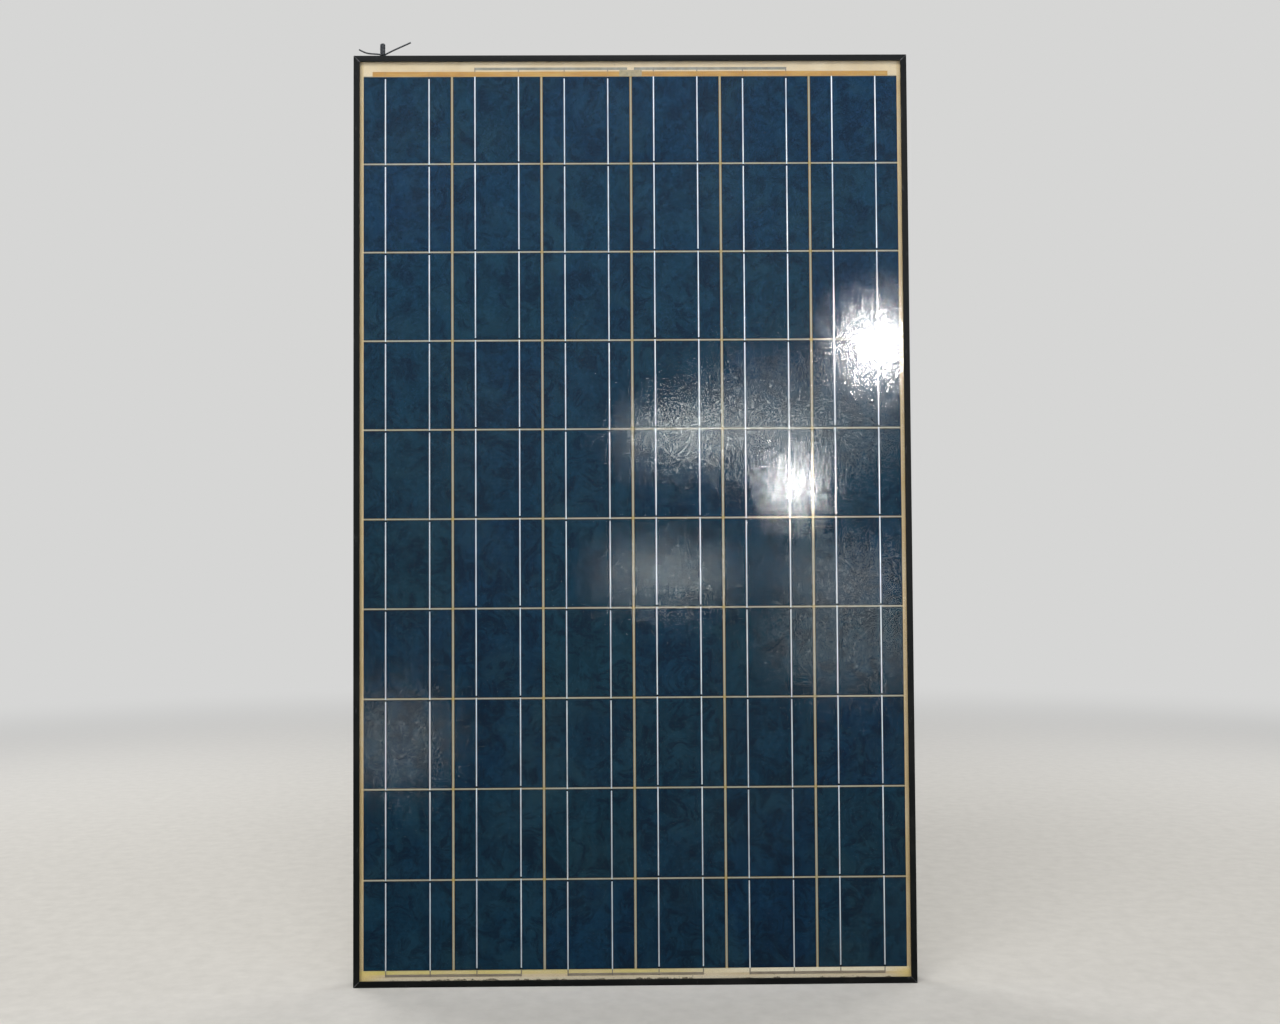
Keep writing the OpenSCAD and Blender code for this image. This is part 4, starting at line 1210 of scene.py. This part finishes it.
hole_x, hole_y = DRAIN_STEP / MM, (DRAIN_Y - TIE_AT.y) / MM
crest = millimetres((2.6, 0, 21.9), (0, 0, 22.7), (-2.6, 0, 21.9))
tie_line = (
    millimetres((-42.5, 2, 13.2), (-35, 1.5, 9), (-27, 1, 6), (-15, 0.5, 4.8), (-6, 0, 4.2))
    + eye_strand(-1) + crest + eye_strand(1)[::-1]
    + millimetres((4.2, 2, 2.4), (5.4, 6, 1.6), (hole_x, 10, 1.5), (hole_x, hole_y - 3, 1.5),
                  (hole_x, hole_y, -0.8), (hole_x, hole_y, -4.6), (4.6, hole_y, -6.2),
                  (-4.6, hole_y, -6.2), (-hole_x, hole_y, -4.6), (-hole_x, hole_y, -0.8),
                  (-hole_x, hole_y - 3, 1.5), (-hole_x, 10, 1.5), (-5, 5.6, 1.6), (-1.6, 3.6, 2.8),
                  (3, 2.8, 4.2), (6.6, 1.8, 5.4), (18, 1, 11), (34, 1.5, 18.4), (50, 2, 25.9))
)
curve = bpy.data.curves.new("tie_route", "CURVE")
curve.dimensions = "3D"
curve.bevel_depth = WIRE_D / 2
curve.bevel_resolution = 4
curve.resolution_u = 6
curve.use_fill_caps = True
spline = curve.splines.new("NURBS")
spline.points.add(len(tie_line) - 1)
for point, place in zip(spline.points, tie_line):
    point.co = (*(TIE_AT + Vector(place)), 1.0)
spline.order_u = 3
spline.use_endpoint_u = True
route = bpy.data.objects.new("tie_route", curve)
bpy.context.scene.collection.objects.link(route)
bpy.context.view_layer.update()
tie_mesh = bpy.data.meshes.new_from_object(route.evaluated_get(bpy.context.evaluated_depsgraph_get()))
bpy.data.objects.remove(route)
tie_mesh.shade_smooth()
add_piece("twisted_wire_tie", tie_mesh, wire_finish(), stands_for=("twist_tie",),
          smooth_angle=60)
print("tie has", len(tie_mesh.polygons), "faces")

# %% [markdown]
# ## The floor
# A plain pale floor. Far from the panel it fades into the pale background, so no horizon line
# cuts across behind the panel.

# %% Floor
BACK_TONE = shade(214, 214, 213)


def floor_finish():
    f = Finish("pale_floor")
    grain = f.noise(30, 5, 0.6)
    pale = f.ramp(grain, (0.3, shade(208, 205, 199)), (0.7, shade(217, 214, 208)))
    matt = f.add("ShaderNodeBsdfDiffuse", {"Color": pale})
    glow = f.add("ShaderNodeEmission", {"Color": rgba(BACK_TONE)})
    out = f.add("ShaderNodeVectorMath", {0: f.place}, out="Value", operation="LENGTH")
    far = f.add("ShaderNodeMapRange", {0: out, 1: 1.2, 2: 6.0, 3: 0.0, 4: 1.0},
                interpolation_type="SMOOTHSTEP")
    return f.done(f.add("ShaderNodeMixShader", {0: far, 1: matt, 2: glow}))


bm = bmesh.new()
bmesh.ops.create_circle(bm, cap_ends=True, radius=60.0, segments=96)
floor = bpy.data.objects.new("floor", mesh_from(bm, "floor"))
bpy.context.scene.collection.objects.link(floor)
dress(floor, floor_finish())
floor.visible_glossy = False

# %% [markdown]
# The background does three jobs. The camera sees one pale tone. Matt surfaces get a dim even grey.
# Shiny surfaces mirror a room: a dim blue that brightens upwards in front of the panel, which
# gives the glass its colour, and a neutral grey behind it.

# %% Background
def studio():
    f = Finish("studio", for_world=True)
    height = f.add("ShaderNodeMapRange", {"Value": f.axis("Z"), "From Min": -1.0})
    sky = f.ramp(height, (0.46, (0.012, 0.022, 0.03)), (0.62, (0.07, 0.24, 0.60)))
    ahead = f.add("ShaderNodeMapRange", {"Value": f.axis("Y"), "From Min": 0.15, "From Max": -0.15})
    room = f.mix(ahead, 0.12, sky)
    mirrored_ray = f.add("ShaderNodeLightPath", out="Is Glossy Ray")
    lighting = f.add("ShaderNodeBackground", {"Color": f.mix(mirrored_ray, 0.22, room)})
    seen = f.add("ShaderNodeBackground", {"Color": rgba(BACK_TONE)})
    camera_ray = f.add("ShaderNodeLightPath", out="Is Camera Ray")
    return f.done(f.add("ShaderNodeMixShader", {0: camera_ray, 1: lighting, 2: seen}))


bpy.context.scene.world = studio()
print("floor and background made")

# %% [markdown]
# ## The lights
# Large soft lights stand well to the sides, so the glass does not mirror them. Two small lamps do
# the opposite: each is put exactly where the glass bounces it back to the camera, and the rolled
# glass spreads it into one of the two grainy glows. Wide dim lights placed in the same way make
# the faint bands round them. Only shiny surfaces see these, so they don't wash out the rest.

# %% Soft lights
def aim(obj, target):
    obj.rotation_euler = (Vector(target) - obj.location).to_track_quat("-Z", "Y").to_euler()


def softbox(name, place, target, size, power, colour=(1.0, 1.0, 1.0)):
    light = bpy.data.lights.new(name, "AREA")
    light.shape = "RECTANGLE"
    light.size, light.size_y = size
    light.energy = power
    light.color = colour
    obj = bpy.data.objects.new(name, light)
    bpy.context.scene.collection.objects.link(obj)
    obj.location = place
    aim(obj, target)
    return obj


WARM = (1.0, 0.99, 0.97)
softbox("key_above", (-0.3, -2.9, 4.0), (0, 0, 0.8), (2.8, 1.4), 92, WARM)
softbox("key_left", (-2.5, -2.9, 1.9), (0, 0, 0.8), (1.5, 1.8), 42, WARM)
softbox("fill_right", (2.5, -2.9, 1.6), (0, 0, 0.8), (1.5, 1.8), 31, (0.98, 0.99, 1.0))
softbox("back_left", (-2.6, 2.8, 2.6), (0, 0, 0.9), (2.4, 2.0), 78)
softbox("back_right", (2.8, 2.6, 2.2), (0, 0, 0.9), (2.4, 2.0), 52)

# %% Lamps that only shiny surfaces show
GLINT_AWAY, SHEEN_AWAY = 2.6, 2.8


def mirrored(spot, distance):
    """The place from which the glass bounces light off a spot on the pane to the camera."""
    spot = Vector((spot[0], GLASS_FRONT, spot[1]))
    ray = (spot - CAMERA_AT).normalized()
    return spot + Vector((ray.x, -ray.y, ray.z)) * distance


def glint_only(obj):
    obj.visible_camera = False
    obj.visible_diffuse = False


def glint(name, spot, radius, power):
    lamp = bpy.data.lights.new(name, "POINT")
    lamp.shadow_soft_size = radius
    lamp.energy = power
    obj = bpy.data.objects.new(name, lamp)
    bpy.context.scene.collection.objects.link(obj)
    obj.location = mirrored(spot, GLINT_AWAY)
    glint_only(obj)


def sheen(name, spot, size, power):
    """A wide dim light that shows as a soft band in the glass."""
    obj = softbox(name, mirrored(spot, SHEEN_AWAY), (spot[0], GLASS_FRONT, spot[1]), size, power,
                  (0.95, 1.0, 0.97))
    obj.data.shape = "ELLIPSE"
    glint_only(obj)


glint("glint_upper", (0.436, 1.128), 0.105, 36)
glint("glint_lower", (0.285, 0.880), 0.05, 14)
sheen("sheen_upper", (0.17, 0.975), (0.8, 0.16), 1.9)
sheen("sheen_crest", (0.075, 0.968), (0.4, 0.16), 0.7)
sheen("sheen_across", (0.27, 0.990), (0.9, 0.45), 1.9)
sheen("sheen_lower", (0.058, 0.722), (0.5, 0.18), 1.15)
sheen("sheen_beside", (0.36, 0.728), (0.5, 0.2), 0.6)
sheen("sheen_right", (0.38, 0.610), (0.6, 0.4), 0.9)
sheen("sheen_left", (-0.42, 0.435), (0.4, 0.36), 0.6)
print("lights placed")
